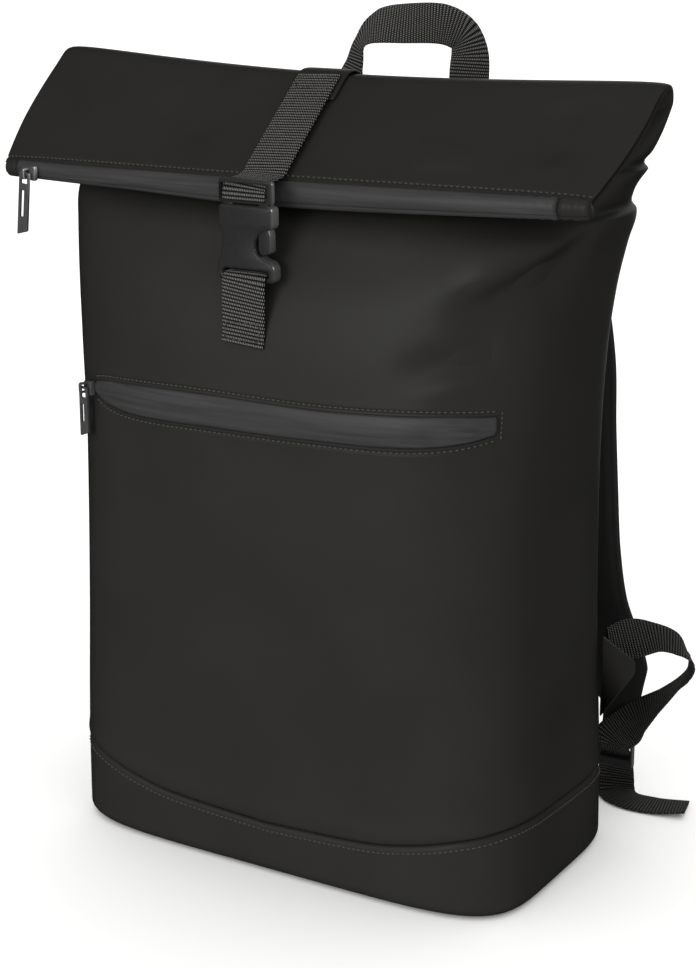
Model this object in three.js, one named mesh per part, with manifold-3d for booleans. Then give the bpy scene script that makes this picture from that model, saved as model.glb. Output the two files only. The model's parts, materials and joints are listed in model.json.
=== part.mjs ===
// Laptop backpack with a roll top, standing empty and closed.
// Millimetres, +Z up, the front faces -Y and the base stands on z = 0.

import * as THREE from 'three';
import { mergeVertices } from 'three/addons/utils/BufferGeometryUtils.js';
import loadManifold from 'manifold-3d';

const wasm = await loadManifold();
wasm.setup();

// Cloth, webbing and clearances
const GAP = 0.35;
const CLOTH = 2;
const WEB = 1.8;
const AROUND = 56;
const OUTLINE_FINE = 12;
const NORMAL_STEP = 0.4;
const WELD = 1e-3;

// Body: level sections, with how square the front and back corners are
const BODY = [
  { z: 0, half: 155, front: -88, back: 87, frontPower: 5.4, backPower: 5 },
  { z: 60, half: 154, front: -91, back: 88, frontPower: 5, backPower: 4.8 },
  { z: 150, half: 150.5, front: -97, back: 88, frontPower: 4.2, backPower: 4.6 },
  { z: 250, half: 149.5, front: -101, back: 88, frontPower: 3.6, backPower: 4.5 },
  { z: 310, half: 152.5, front: -101, back: 87, frontPower: 3.4, backPower: 4.4 },
  { z: 350, half: 158, front: -95, back: 84, frontPower: 3.3, backPower: 4.4 },
  { z: 378, half: 164.5, front: -84, back: 80, frontPower: 3.3, backPower: 4.4 },
  { z: 392, half: 169, front: -76, back: 76, frontPower: 3.2, backPower: 4.3 },
];
const BODY_TOP = 392;
const BODY_LEVELS = [85, 125, 165, 205, 240, 272, 302, 320, 338, 356, 372, 384, BODY_TOP];

// Soft dents pressed into the front panel, as strokes across it
const DENTS = [
  { x: 150, z: 372, toX: 62, toZ: 322, width: 20, depth: 4 },
  { x: 150, z: 336, toX: 108, toZ: 306, width: 14, depth: 3 },
  { x: -110, z: 376, toX: -70, toZ: 352, width: 18, depth: 2 },
];

// Base panel: height of its seam, by share of the way round from the front middle
const SEAM = [
  { share: 0, z: 33 },
  { share: 0.08, z: 37 },
  { share: 0.155, z: 56 },
  { share: 0.25, z: 46 },
  { share: 0.5, z: 44 },
];
const BASE_FILLET = 8;
const FILLET_STEPS = 3;

// Neck: the tube narrows to a flat sleeve before it folds over
const NECK = [
  { z: BODY_TOP + GAP, half: 165, front: -73, back: 73, power: 4, dip: 0, bow: 0, skew: 0, lift: 0 },
  { z: 408, half: 171, front: -53, back: 65, power: 3.6, dip: 0.5, bow: 2, skew: -0.003, lift: 0 },
  { z: 424, half: 180, front: -31, back: 53, power: 3.2, dip: 1, bow: 4.5, skew: -0.006, lift: 0.5 },
  { z: 440, half: 190, front: -11, back: 38, power: 2.8, dip: 3.5, bow: 7, skew: -0.01, lift: 2 },
  { z: 456, half: 197, front: 9, back: 20, power: 3, dip: 5.5, bow: 9, skew: -0.013, lift: 4 },
];

// Fold and flap: the sleeve bends over the ridge and comes down to its mouth at the zip
const SLEEVE_HALF = 5.5;
const FOLD_RADIUS = 10.5;
const FOLD_TURN = THREE.MathUtils.degToRad(128.7);
const FOLD_STEPS = 5;
const FLAP_STOPS = [21, 50, 84];
const FLAP_POWER = 3;
const ROLL_WIDTH = [
  { share: 0, half: 197 },
  { share: 0.25, half: 201 },
  { share: 0.6, half: 200 },
  { share: 1, half: 192 },
];
const RIDGE_DIP = 5.5;
const RIDGE_LIFT = 4;
const RIDGE_BOW = 9;
const MOUTH_BOW = 10;
const RIDGE_SKEW = -0.013;
const MOUTH_SKEW = 0.013;

// Top zip: section of the band, measured from the middle of the mouth
const ZIP_SECTION = [
  { y: -3.8, z: 4 },
  { y: -6.3, z: 1.2 },
  { y: -6.8, z: -1.9 },
  { y: -5.8, z: -5.2 },
  { y: -3, z: -7.6 },
  { y: 1, z: -7.4 },
  { y: 3.2, z: -4.4 },
];
const ZIP_FRONT = -6.8;
const ZIP_LEFT = -180;
const ZIP_RIGHT = 173;
const ZIP_STEPS = 14;
const ZIP_TAB_END = 190;
const ZIP_TAB_STEPS = 2;

// Zip sliders and pulls
const SLIDER_LONG = 11;
const SLIDER_TALL = 9;
const SLIDER_THICK = 3.2;
const ARCH_WIDE = 2.6;
const ARCH_TALL = 6.4;
const ARCH_OUT = 4.9;
const ARCH_BAR = 1.2;
const ARCH_ROOT = 1;
const PIVOT_OUT = 2.1;
const PULL_WIDE = 8;
const PULL_THICK = 1.6;
const PULL_BAR = 1.3;
const PULL_LEG = 1.5;
const PULL_EYE = 6;
const PULL_SLANT = 3;
const PULL_SLOT = { left: -2.2, right: 0.4, top: -10, end: 0.3 };
const TOP_SLIDER_X = -167;
const TOP_SLIDER_DROP = 2.4;
const TOP_PULL_LONG = 37;
const POCKET_PULL_LONG = 30;

// Pocket zip: columns of the body's outline that it spans, and its edges along them
const POCKET = [
  { column: -7.55, low: 283, high: 289.5 },
  { column: -6.9, low: 279, high: 291 },
  { column: -6, low: 276.5, high: 292 },
  { column: -3, low: 276.8, high: 292.2 },
  { column: 0, low: 279, high: 292.8 },
  { column: 3, low: 281.6, high: 294.6 },
  { column: 6, low: 282.8, high: 295.2 },
  { column: 8, low: 284.4, high: 296.6 },
  { column: 9.6, low: 287, high: 298 },
];
const POCKET_THICK = 1.4;
const POCKET_SLIDER_COLUMN = -8;
const POCKET_SLIDER_Z = 285;
const POCKET_PULL_YAW = THREE.MathUtils.degToRad(12);

// Closure strap and buckle, on the middle line
const CLOSURE_LEAN = -6;
const STRIP_WIDE = 33;
const STRIP_THICK = 1.8;
const STRIP_GAP = 0.5;
const STRIP_NECK_ROWS = 3;
const STRIP_FLAP_ROWS = 1;
const WEB_WIDE = 28;
const BUCKLE_BACK = -95;
const MALE_THICK = 7;
const MALE_HALF = 17.4;
const MALE_TOP = 418;
const MALE_LOW = 404.6;
const MALE_WINDOW = { half: 14.5, low: 407.2, high: 415 };
const ARM = { near: 10.5, far: 15.5, head: 17, top: 405.6, low: 376.5, headLow: 378.5, headTop: 387 };
const ARM_THICK = 4;
const ARM_NECK = 388;
const CHANNEL_LOW = 386;
const FEMALE_THICK = 8.6;
const FEMALE_OUT = 0.8;
const FEMALE_SLOT = { half: 14.6, low: 367, high: 370.4 };
const FEMALE_EDGE = [
  { x: 17.4, z: 404.2 },
  { x: 17.4, z: 390.4 },
  { x: 10, z: 388.4 },
  { x: 8, z: 382 },
  { x: 9.6, z: 376 },
  { x: 16.4, z: 373.4 },
  { x: 18.4, z: 370.4 },
  { x: 18.4, z: 365 },
  { x: 16.6, z: 363.2 },
];
const CLOSURE_END = [
  { out: 1.2, z: 411.4 },
  { out: 0.6, z: 410.2 },
  { out: -2.2, z: 406.8 },
  { out: -2.4, z: 399 },
];
const LOWER_WEB_FOOT = [
  { x: -4, z: 326 },
  { x: -3.2, z: 335 },
  { x: -2.2, z: 345 },
  { x: -1.2, z: 355 },
];
const LOWER_WEB_END = [
  { out: -2.6, z: 365.2 },
  { out: -2.5, z: 367.6 },
  { out: -1, z: 368.7 },
  { out: 4, z: 368.7 },
];

// Grab handle: right half of the loop, from its sewn foot to its crown
const HANDLE_WIDE = 27;
const HANDLE_THICK = 2.2;
const HANDLE_FOOT_LEVELS = [366, 379, 391];
const HANDLE_FOOT_X = 37;
const HANDLE = [
  { x: 38, y: 79, z: 404, tilt: 6 },
  { x: 39, y: 79.5, z: 434, tilt: 20 },
  { x: 40.5, y: 80, z: 462, tilt: 34 },
  { x: 35.5, y: 81, z: 479, tilt: 44 },
  { x: 22, y: 82, z: 489, tilt: 48 },
  { x: 0, y: 82, z: 492, tilt: 48 },
];

// Shoulder strap on the right of the back, from its sewn top to its lower end
const STRAP = [
  { x: 84, y: 78.1, z: 391, wide: 56, thick: 5, yaw: -3 },
  { x: 84, y: 85.5, z: 376, wide: 56, thick: 8, yaw: -2 },
  { x: 86, y: 101, z: 340, wide: 56, thick: 11, yaw: 0 },
  { x: 89, y: 115, z: 290, wide: 56, thick: 11, yaw: 0 },
  { x: 91, y: 122, z: 245, wide: 56, thick: 11, yaw: 0 },
  { x: 94, y: 123, z: 205, wide: 56, thick: 11, yaw: 0 },
  { x: 100, y: 127, z: 163, wide: 56, thick: 11, yaw: 0 },
  { x: 105, y: 130, z: 130, wide: 56, thick: 11, yaw: 0 },
  { x: 112, y: 132.5, z: 108, wide: 55, thick: 11, yaw: 0 },
  { x: 120, y: 133, z: 90, wide: 52, thick: 11, yaw: 0 },
  { x: 127, y: 131.8, z: 77, wide: 46, thick: 9, yaw: 0 },
  { x: 131, y: 129.6, z: 68, wide: 31, thick: 6, yaw: 0 },
  { x: 132.5, y: 126.2, z: 58, wide: 23, thick: 4.5, yaw: 0 },
  { x: 132.8, y: 124.2, z: 44.4, wide: 22, thick: 4, yaw: 0 },
];
const STRAP_STEPS = 22;
const STRAP_SIDES = 12;
const STRAP_POWER = 3.5;

// Ladder lock at the lower end of a shoulder strap
const ADJUSTER = { x: 132.8, y: 126, wide: 30, low: 20, high: 43, thick: 4 };
const ADJUSTER_WINDOW = { half: 12.9, low: 26, high: 37 };

// Side tab: a triangle standing out from the lower back seam
const TAB_COLUMN = 18;
const TAB_LEVEL = 80;
const TAB_THICK = 3;
const TAB_EDGE = [
  { out: 0, z: 80 },
  { out: 20.5, z: 109 },
  { out: 20.5, z: 116.5 },
  { out: 0, z: 133 },
];

// Strap webbing on the right: middle line, and the way that its width points
const STRAP_WEB_WIDE = 25;
const STRAP_WEB = [
  { x: 143.5, y: 79.5, z: 119, wx: 0, wy: 0, wz: 1 },
  { x: 153, y: 93, z: 121.5, wx: -0.3, wy: 0.35, wz: 0.89 },
  { x: 164, y: 104.5, z: 121, wx: -0.59, wy: 0.64, wz: 0.49 },
  { x: 176, y: 112, z: 116, wx: -0.4, wy: 0.88, wz: 0.25 },
  { x: 183, y: 116, z: 106, wx: -0.5, wy: 0.84, wz: 0.2 },
  { x: 181.5, y: 118, z: 97, wx: -0.35, wy: 0.9, wz: 0.2 },
  { x: 175, y: 119, z: 87, wx: -0.17, wy: 0.95, wz: 0.25 },
  { x: 163, y: 118, z: 73.5, wx: -0.34, wy: 0.9, wz: 0.29 },
  { x: 150, y: 117.5, z: 60.5, wx: -0.61, wy: 0.6, wz: 0.52 },
  { x: 141, y: 118.3, z: 50, wx: -0.75, wy: 0.12, wz: 0.64 },
  { x: 135, y: 119.5, z: 42, wx: -0.97, wy: 0, wz: 0.25 },
  { x: 133.2, y: 120.2, z: 37, wx: -1, wy: 0, wz: 0 },
  { x: 132.8, y: 124, z: 31.5, wx: -1, wy: 0, wz: 0 },
  { x: 132.8, y: 128, z: 25.4, wx: -1, wy: 0, wz: 0 },
  { x: 132.5, y: 130.5, z: 18, wx: -1, wy: 0, wz: 0 },
  { x: 132.5, y: 131.5, z: 8, wx: -1, wy: 0, wz: 0 },
  { x: 133, y: 127, z: 2, wx: -0.97, wy: -0.25, wz: 0 },
  { x: 138, y: 120, z: 1.2, wx: -0.8, wy: -0.6, wz: 0 },
  { x: 147.5, y: 116.5, z: 1.2, wx: -0.35, wy: -0.94, wz: 0 },
  { x: 163, y: 117.5, z: 1.2, wx: 0.15, wy: -0.99, wz: 0 },
  { x: 183, y: 122.5, z: 3, wx: 0.25, wy: -0.96, wz: 0.1 },
];
const STRAP_WEB_STEPS = 60;

// Looks
const COATED = { color: 0x2b2a28, roughness: 0.72, metalness: 0 };
const WOVEN = { color: 0x262626, roughness: 0.85, metalness: 0 };
const ZIP_BAND = { color: 0x38383a, roughness: 0.5, metalness: 0 };
const PLASTIC = { color: 0x161616, roughness: 0.42, metalness: 0 };
const METAL = { color: 0x56565a, roughness: 0.4, metalness: 0.9 };

const bag = new THREE.Group();

// Adds a named piece with its own material to a group, the bag unless another is given
function addPiece(name, geometry, look, parent = bag) {
  geometry.computeVertexNormals();
  const mesh = new THREE.Mesh(geometry, new THREE.MeshStandardMaterial(look));
  mesh.name = name;
  parent.add(mesh);
  return mesh;
}

// One column of a table at a place along its key column, smooth through the rows
function smoothColumn(rows, key, at, column) {
  const last = rows.length - 1;
  let i = 0;
  while (i < last - 1 && rows[i + 1][key] < at) {
    i += 1;
  }
  const slope = (j) => {
    const before = rows[Math.max(j - 1, 0)];
    const after = rows[Math.min(j + 1, last)];
    return (after[column] - before[column]) / (after[key] - before[key]);
  };
  const span = rows[i + 1][key] - rows[i][key];
  const t = THREE.MathUtils.clamp((at - rows[i][key]) / span, 0, 1);
  const rise = t * t * (3 - 2 * t);
  const leave = t * (1 - t) * (1 - t);
  const arrive = t * t * (t - 1);
  const level = rows[i][column] * (1 - rise) + rows[i + 1][column] * rise;
  return level + span * (slope(i) * leave + slope(i + 1) * arrive);
}

function signedVolume(points, faces) {
  let volume = 0;
  for (const [a, b, c] of faces) {
    volume += points[a].dot(points[b].clone().cross(points[c])) / 6;
  }
  return volume;
}

// Closed solid through rows of points: the rows form a ring, or each end row gets a fan
function rowsToSolid(rows, ring = false) {
  const wide = rows[0].length;
  const points = rows.flat();
  const faces = [];
  const joins = ring ? rows.length : rows.length - 1;
  for (let i = 0; i < joins; i += 1) {
    const here = i * wide;
    const next = ((i + 1) % rows.length) * wide;
    for (let j = 0; j < wide; j += 1) {
      const k = (j + 1) % wide;
      faces.push([here + j, here + k, next + k], [here + j, next + k, next + j]);
    }
  }
  if (!ring) {
    const lastRow = (rows.length - 1) * wide;
    const middle = (row) => row.reduce((sum, p) => sum.add(p), new THREE.Vector3()).divideScalar(wide);
    points.push(middle(rows[0]), middle(rows.at(-1)));
    for (let j = 0; j < wide; j += 1) {
      const k = (j + 1) % wide;
      faces.push([points.length - 2, k, j], [points.length - 1, lastRow + j, lastRow + k]);
    }
  }
  if (signedVolume(points, faces) < 0) {
    faces.forEach((face) => face.reverse());
  }
  const geometry = new THREE.BufferGeometry().setFromPoints(points);
  geometry.setIndex(faces.flat());
  return geometry;
}

// Outline of a level section in equal steps of length, from the front middle towards +X
function outline(section, inset = 0) {
  const half = section.half - inset;
  const middle = (section.front + section.back) / 2;
  const depth = (section.back - section.front) / 2 - inset;
  const dense = [];
  const fine = AROUND * OUTLINE_FINE;
  for (let i = 0; i <= fine; i += 1) {
    const angle = (i / fine) * 2 * Math.PI - Math.PI / 2;
    const across = Math.cos(angle);
    const deep = Math.sin(angle);
    const power = deep < 0 ? section.frontPower : section.backPower;
    const reach = (Math.abs(across) ** power + Math.abs(deep) ** power) ** (-1 / power);
    dense.push(new THREE.Vector2(half * reach * across, middle + depth * reach * deep));
  }
  const along = [0];
  for (let i = 1; i <= fine; i += 1) {
    along.push(along[i - 1] + dense[i].distanceTo(dense[i - 1]));
  }
  const pointAt = (share) => {
    const target = (((share % 1) + 1) % 1) * along[fine];
    let i = 1;
    while (i < fine && along[i] < target) {
      i += 1;
    }
    const part = (target - along[i - 1]) / (along[i] - along[i - 1]);
    return dense[i - 1].clone().lerp(dense[i], part);
  };
  return { pointAt, length: along[fine] };
}

// Body

function bodySection(z) {
  const section = {};
  for (const column of ['half', 'front', 'back', 'frontPower', 'backPower']) {
    section[column] = smoothColumn(BODY, 'z', z, column);
  }
  return section;
}

// How far the front panel is pressed in at a place on it
function dentDepth(x, z) {
  const place = new THREE.Vector2(x, z);
  let depth = 0;
  for (const dent of DENTS) {
    const start = new THREE.Vector2(dent.x, dent.z);
    const stroke = new THREE.Vector2(dent.toX, dent.toZ).sub(start);
    const part = THREE.MathUtils.clamp(place.clone().sub(start).dot(stroke) / stroke.lengthSq(), 0, 1);
    const away = place.distanceTo(start.addScaledVector(stroke, part)) / dent.width;
    depth += dent.depth * Math.exp(-away * away);
  }
  return depth;
}

// Point of the body's outside, or of its inside when inset, at a share of the way round
function bodyPoint(share, z, inset = 0) {
  const section = bodySection(z);
  const flat = outline(section, inset).pointAt(share);
  const middle = (section.front + section.back) / 2;
  const frontness = THREE.MathUtils.clamp((middle - flat.y) / (middle - section.front), 0, 1);
  return new THREE.Vector3(flat.x, flat.y + dentDepth(flat.x, z) * frontness ** 2, z);
}

// Way that the body's outside faces, level
function bodyNormal(share, z) {
  const step = NORMAL_STEP / AROUND;
  const way = bodyPoint(share + step, z).sub(bodyPoint(share - step, z));
  return new THREE.Vector3(way.y, -way.x, 0).normalize();
}

function seamHeight(share) {
  return smoothColumn(SEAM, 'share', Math.min(share, 1 - share), 'z');
}

function column(j) {
  return j / AROUND;
}

// A row round the body at heights given by a function of the share
function bodyRow(heightAt, inset = 0) {
  return Array.from({ length: AROUND }, (_, j) => bodyPoint(column(j), heightAt(column(j)), inset));
}

function basePanel() {
  const rows = [];
  for (let i = 0; i <= FILLET_STEPS; i += 1) {
    const angle = (i / FILLET_STEPS) * (Math.PI / 2);
    const z = BASE_FILLET * (1 - Math.cos(angle));
    rows.push(bodyRow(() => z, BASE_FILLET * (1 - Math.sin(angle))));
  }
  const halfway = (share) => (BASE_FILLET + seamHeight(share)) / 2;
  rows.push(bodyRow(halfway), bodyRow(seamHeight));
  rows.push(bodyRow(seamHeight, CLOTH), bodyRow(() => BASE_FILLET + CLOTH, CLOTH));
  rows.push(bodyRow(() => CLOTH, BASE_FILLET));
  return rowsToSolid(rows);
}

function bodyShell() {
  const heights = [(share) => seamHeight(share) + GAP, ...BODY_LEVELS.map((z) => () => z)];
  const outside = heights.map((heightAt) => bodyRow(heightAt));
  const inside = heights.map((heightAt) => bodyRow(heightAt, CLOTH));
  return rowsToSolid([...outside, ...inside.reverse()], true);
}

// Roll top

// Stations up the neck, over the fold and down the flap to the mouth
function rollStations() {
  const stations = NECK.map((row) => ({ ...row, y: 0, turn: 0, share: 0 }));
  const neckTop = NECK.at(-1);
  const start = new THREE.Vector2((neckTop.front + neckTop.back) / 2 - FOLD_RADIUS, neckTop.z);
  const foldLong = FOLD_RADIUS * FOLD_TURN;
  const whole = foldLong + FLAP_STOPS.at(-1);
  const addSleeve = (centre, turn, done) => {
    const share = done / whole;
    stations.push({
      y: centre.x,
      z: centre.y,
      turn,
      half: smoothColumn(ROLL_WIDTH, 'share', share, 'half'),
      front: -SLEEVE_HALF,
      back: SLEEVE_HALF,
      power: FLAP_POWER,
      dip: RIDGE_DIP * (1 - share),
      lift: RIDGE_LIFT * (1 - share),
      bow: THREE.MathUtils.lerp(RIDGE_BOW, MOUTH_BOW, share),
      share,
      skew: THREE.MathUtils.lerp(RIDGE_SKEW, MOUTH_SKEW, share),
    });
  };
  const spoke = (turn) => new THREE.Vector2(Math.cos(turn), Math.sin(turn));
  for (let i = 1; i <= FOLD_STEPS; i += 1) {
    const turn = (FOLD_TURN * i) / FOLD_STEPS;
    addSleeve(start.clone().addScaledVector(spoke(turn), FOLD_RADIUS), turn, FOLD_RADIUS * turn);
  }
  const foldEnd = start.clone().addScaledVector(spoke(FOLD_TURN), FOLD_RADIUS);
  const downFlap = spoke(FOLD_TURN + Math.PI / 2);
  for (const stop of FLAP_STOPS) {
    addSleeve(foldEnd.clone().addScaledVector(downFlap, stop), FOLD_TURN, foldLong + stop);
  }
  return stations;
}

const ROLL = rollStations();
const MOUTH = ROLL.at(-1);

// Place on a station, from its distance across and its distance out from the sleeve's middle
function rollPoint(station, across, out) {
  const sag = 1 - (across / station.half) ** 2;
  const y = station.y + out * Math.cos(station.turn) - station.bow * sag;
  const level = station.z - station.dip * sag + station.lift * (1 - sag);
  const z = level + out * Math.sin(station.turn) + station.skew * across;
  return new THREE.Vector3(across, y, z);
}

function rollRow(station, inset) {
  const section = { ...station, frontPower: station.power, backPower: station.power };
  const ring = outline(section, inset);
  return Array.from({ length: AROUND }, (_, j) => {
    const flat = ring.pointAt(column(j));
    return rollPoint(station, flat.x, flat.y);
  });
}

function rollTop() {
  const outside = ROLL.map((station) => rollRow(station, 0));
  const inside = ROLL.map((station) => rollRow(station, CLOTH));
  return rowsToSolid([...outside, ...inside.reverse()], true);
}

// Top zip

// Band along the mouth between two places across the bag
function zipBand(from, to, steps) {
  const rows = [];
  for (let i = 0; i <= steps; i += 1) {
    const across = THREE.MathUtils.lerp(from, to, i / steps);
    const middle = rollPoint(MOUTH, across, 0);
    rows.push(ZIP_SECTION.map((p) => new THREE.Vector3(across, middle.y + p.y, middle.z + p.z)));
  }
  return rowsToSolid(rows);
}

// Hard pieces

function toManifold(geometry) {
  const bare = geometry.clone();
  bare.deleteAttribute('normal');
  bare.deleteAttribute('uv');
  const welded = mergeVertices(bare, WELD);
  const vertProperties = new Float32Array(welded.attributes.position.array);
  const triVerts = new Uint32Array(welded.index.array);
  return new wasm.Manifold(new wasm.Mesh({ numProp: 3, vertProperties, triVerts }));
}

function fromManifold(solid) {
  const mesh = solid.getMesh();
  const geometry = new THREE.BufferGeometry();
  geometry.setAttribute('position', new THREE.BufferAttribute(new Float32Array(mesh.vertProperties), 3));
  geometry.setIndex(new THREE.BufferAttribute(new Uint32Array(mesh.triVerts), 1));
  return geometry;
}

// Box between two corners
function box(x0, x1, y0, y1, z0, z1) {
  const geometry = new THREE.BoxGeometry(x1 - x0, y1 - y0, z1 - z0);
  return geometry.translate((x0 + x1) / 2, (y0 + y1) / 2, (z0 + z1) / 2);
}

// Upright plate: an outline across and up, grown forward from its back face
function uprightPlate(edge, holes, thick, back) {
  const shape = new THREE.Shape(edge);
  shape.holes = holes.map((hole) => new THREE.Path(hole));
  const geometry = new THREE.ExtrudeGeometry(shape, { depth: thick, bevelEnabled: false });
  return geometry.rotateX(Math.PI / 2).translate(0, back, 0);
}

function rectangle(x0, x1, z0, z1) {
  const corners = [[x0, z0], [x1, z0], [x1, z1], [x0, z1]];
  return corners.map(([x, z]) => new THREE.Vector2(x, z));
}

// Slider: a block with an arch in front, its back face at y = 0
function slider() {
  const front = -SLIDER_THICK;
  const block = box(-SLIDER_LONG / 2, SLIDER_LONG / 2, front, 0, -SLIDER_TALL / 2, SLIDER_TALL / 2);
  const archFront = front - ARCH_OUT;
  const archBack = front + ARCH_ROOT;
  const arch = box(-ARCH_WIDE / 2, ARCH_WIDE / 2, archFront, archBack, -ARCH_TALL / 2, ARCH_TALL / 2);
  const eyeHalf = ARCH_TALL / 2 - ARCH_BAR;
  const eye = box(-ARCH_WIDE, ARCH_WIDE, archFront + ARCH_BAR, front, -eyeHalf, eyeHalf);
  return fromManifold(toManifold(block).add(toManifold(arch)).subtract(toManifold(eye)));
}

// Pull: hangs from a bar in the slider's arch, which lies on the X axis
function pull(long) {
  const half = PULL_WIDE / 2;
  const low = -long;
  const edge = [
    new THREE.Vector2(-half, PULL_BAR / 2),
    new THREE.Vector2(-half, low),
    new THREE.Vector2(half, low + PULL_SLANT),
    new THREE.Vector2(half, PULL_BAR / 2),
  ];
  const eye = rectangle(-half + PULL_LEG, half - PULL_LEG, -PULL_EYE, -PULL_BAR / 2);
  const slotLow = low * (1 - PULL_SLOT.end);
  const slot = rectangle(PULL_SLOT.left, PULL_SLOT.right, slotLow, PULL_SLOT.top);
  return uprightPlate(edge, [eye, slot], PULL_THICK, PULL_THICK / 2);
}

// A slider with its back at a place and facing a level way, and its pull, which may hang turned
function addZipEnd(names, place, facing, pullLong, pullYaw = 0) {
  const group = new THREE.Group();
  group.position.copy(place);
  group.rotation.z = Math.atan2(facing.x, -facing.y);
  addPiece(names.slider, slider(), METAL, group);
  const hanging = addPiece(names.pull, pull(pullLong), METAL, group);
  hanging.position.y = -SLIDER_THICK - PIVOT_OUT;
  hanging.rotation.z = pullYaw;
  bag.add(group);
}

// Ribbons

// Flat band along a line of places, each with the way that its width points
function ribbon(stops, wide, thick) {
  const rows = stops.map((stop, i) => {
    const before = stops[Math.max(i - 1, 0)].place;
    const after = stops[Math.min(i + 1, stops.length - 1)].place;
    const way = after.clone().sub(before).normalize();
    const side = stop.side.clone().addScaledVector(way, -stop.side.dot(way)).normalize();
    const face = way.clone().cross(side).multiplyScalar(thick / 2);
    side.multiplyScalar(wide / 2);
    const corner = (s, f) => stop.place.clone().addScaledVector(side, s).addScaledVector(face, f);
    return [corner(-1, -1), corner(1, -1), corner(1, 1), corner(-1, 1)];
  });
  return rowsToSolid(rows);
}

// Band whose width lies across the bag
function crossBand(places, wide, thick) {
  const side = new THREE.Vector3(1, 0, 0);
  return ribbon(places.map((place) => ({ place, side })), wide, thick);
}

// Places on the middle line by the buckle, measured out from its back
function buckleLine(rows) {
  return rows.map((row) => new THREE.Vector3(0, BUCKLE_BACK - row.out, row.z));
}

// Places on the closure's line over the roll top, raised by a height
function raisedLine(stations, height) {
  const lean = (station) => CLOSURE_LEAN * (1 - station.share);
  const line = stations.map((station) => rollPoint(station, lean(station), station.back));
  return line.map((place, i) => {
    const before = line[Math.max(i - 1, 0)];
    const after = line[Math.min(i + 1, line.length - 1)];
    const way = after.clone().sub(before).setX(0).normalize();
    return new THREE.Vector3(place.x, place.y + way.z * height, place.z - way.y * height);
  });
}

function closureStrip() {
  const stations = ROLL.slice(NECK.length - STRIP_NECK_ROWS, NECK.length + FOLD_STEPS + STRIP_FLAP_ROWS);
  return crossBand(raisedLine(stations, STRIP_GAP + STRIP_THICK / 2), STRIP_WIDE, STRIP_THICK);
}

function closureWebbing() {
  const stations = ROLL.slice(NECK.length + FOLD_STEPS - 1);
  const height = STRIP_GAP + STRIP_THICK + GAP + WEB / 2;
  return crossBand([...raisedLine(stations, height), ...buckleLine(CLOSURE_END)], WEB_WIDE, WEB);
}

function lowerWebbing() {
  const onPanel = LOWER_WEB_FOOT.map((row) => bodyPoint(0, row.z).setX(row.x));
  onPanel.forEach((place) => place.setY(place.y - GAP - WEB / 2));
  return crossBand([...onPanel, ...buckleLine(LOWER_WEB_END)], WEB_WIDE, WEB);
}

// Buckle

function buckleMale() {
  const window = rectangle(-MALE_WINDOW.half, MALE_WINDOW.half, MALE_WINDOW.low, MALE_WINDOW.high);
  const frame = rectangle(-MALE_HALF, MALE_HALF, MALE_LOW, MALE_TOP);
  let solid = toManifold(uprightPlate(frame, [window], MALE_THICK, BUCKLE_BACK));
  const middle = BUCKLE_BACK - MALE_THICK / 2;
  for (const side of [-1, 1]) {
    const arm = [[ARM.near, ARM.top], [ARM.near, ARM.low], [ARM.head, ARM.headLow], [ARM.head, ARM.headTop]];
    arm.push([ARM.far, ARM_NECK], [ARM.far, ARM.top]);
    const edge = arm.map(([x, z]) => new THREE.Vector2(side * x, z));
    solid = solid.add(toManifold(uprightPlate(edge, [], ARM_THICK, middle + ARM_THICK / 2)));
  }
  return fromManifold(solid);
}

function buckleFemale() {
  const right = FEMALE_EDGE.map((p) => new THREE.Vector2(p.x, p.z));
  const left = FEMALE_EDGE.map((p) => new THREE.Vector2(-p.x, p.z)).reverse();
  const slot = rectangle(-FEMALE_SLOT.half, FEMALE_SLOT.half, FEMALE_SLOT.low, FEMALE_SLOT.high);
  let solid = toManifold(uprightPlate([...right, ...left], [slot], FEMALE_THICK, BUCKLE_BACK + FEMALE_OUT));
  const middle = BUCKLE_BACK - MALE_THICK / 2;
  const reach = ARM_THICK / 2 + GAP;
  for (const side of [-1, 1]) {
    const ends = [side * (ARM.near - GAP), side * (ARM.far + GAP)].sort((a, b) => a - b);
    const channel = box(...ends, middle - reach, middle + reach, CHANNEL_LOW, MALE_LOW);
    solid = solid.subtract(toManifold(channel));
  }
  return fromManifold(solid);
}

// Pocket zip

// Pocket zip rows at every column of the body's outline, so that its facets follow the body's
function pocketColumns() {
  const first = POCKET[0].column;
  const last = POCKET.at(-1).column;
  const columns = [first];
  for (let j = Math.ceil(first); j <= last; j += 1) {
    columns.push(j);
  }
  columns.push(last);
  return columns.map((at) => ({
    column: at,
    low: smoothColumn(POCKET, 'column', at, 'low'),
    high: smoothColumn(POCKET, 'column', at, 'high'),
  }));
}

function pocketZip() {
  const rows = pocketColumns().map((row) => {
    const corner = (z, out) => {
      const share = column(row.column);
      return bodyPoint(share, z).addScaledVector(bodyNormal(share, z), out);
    };
    const top = GAP + POCKET_THICK;
    return [corner(row.low, GAP), corner(row.low, top), corner(row.high, top), corner(row.high, GAP)];
  });
  return rowsToSolid(rows);
}

// Grab handle

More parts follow.
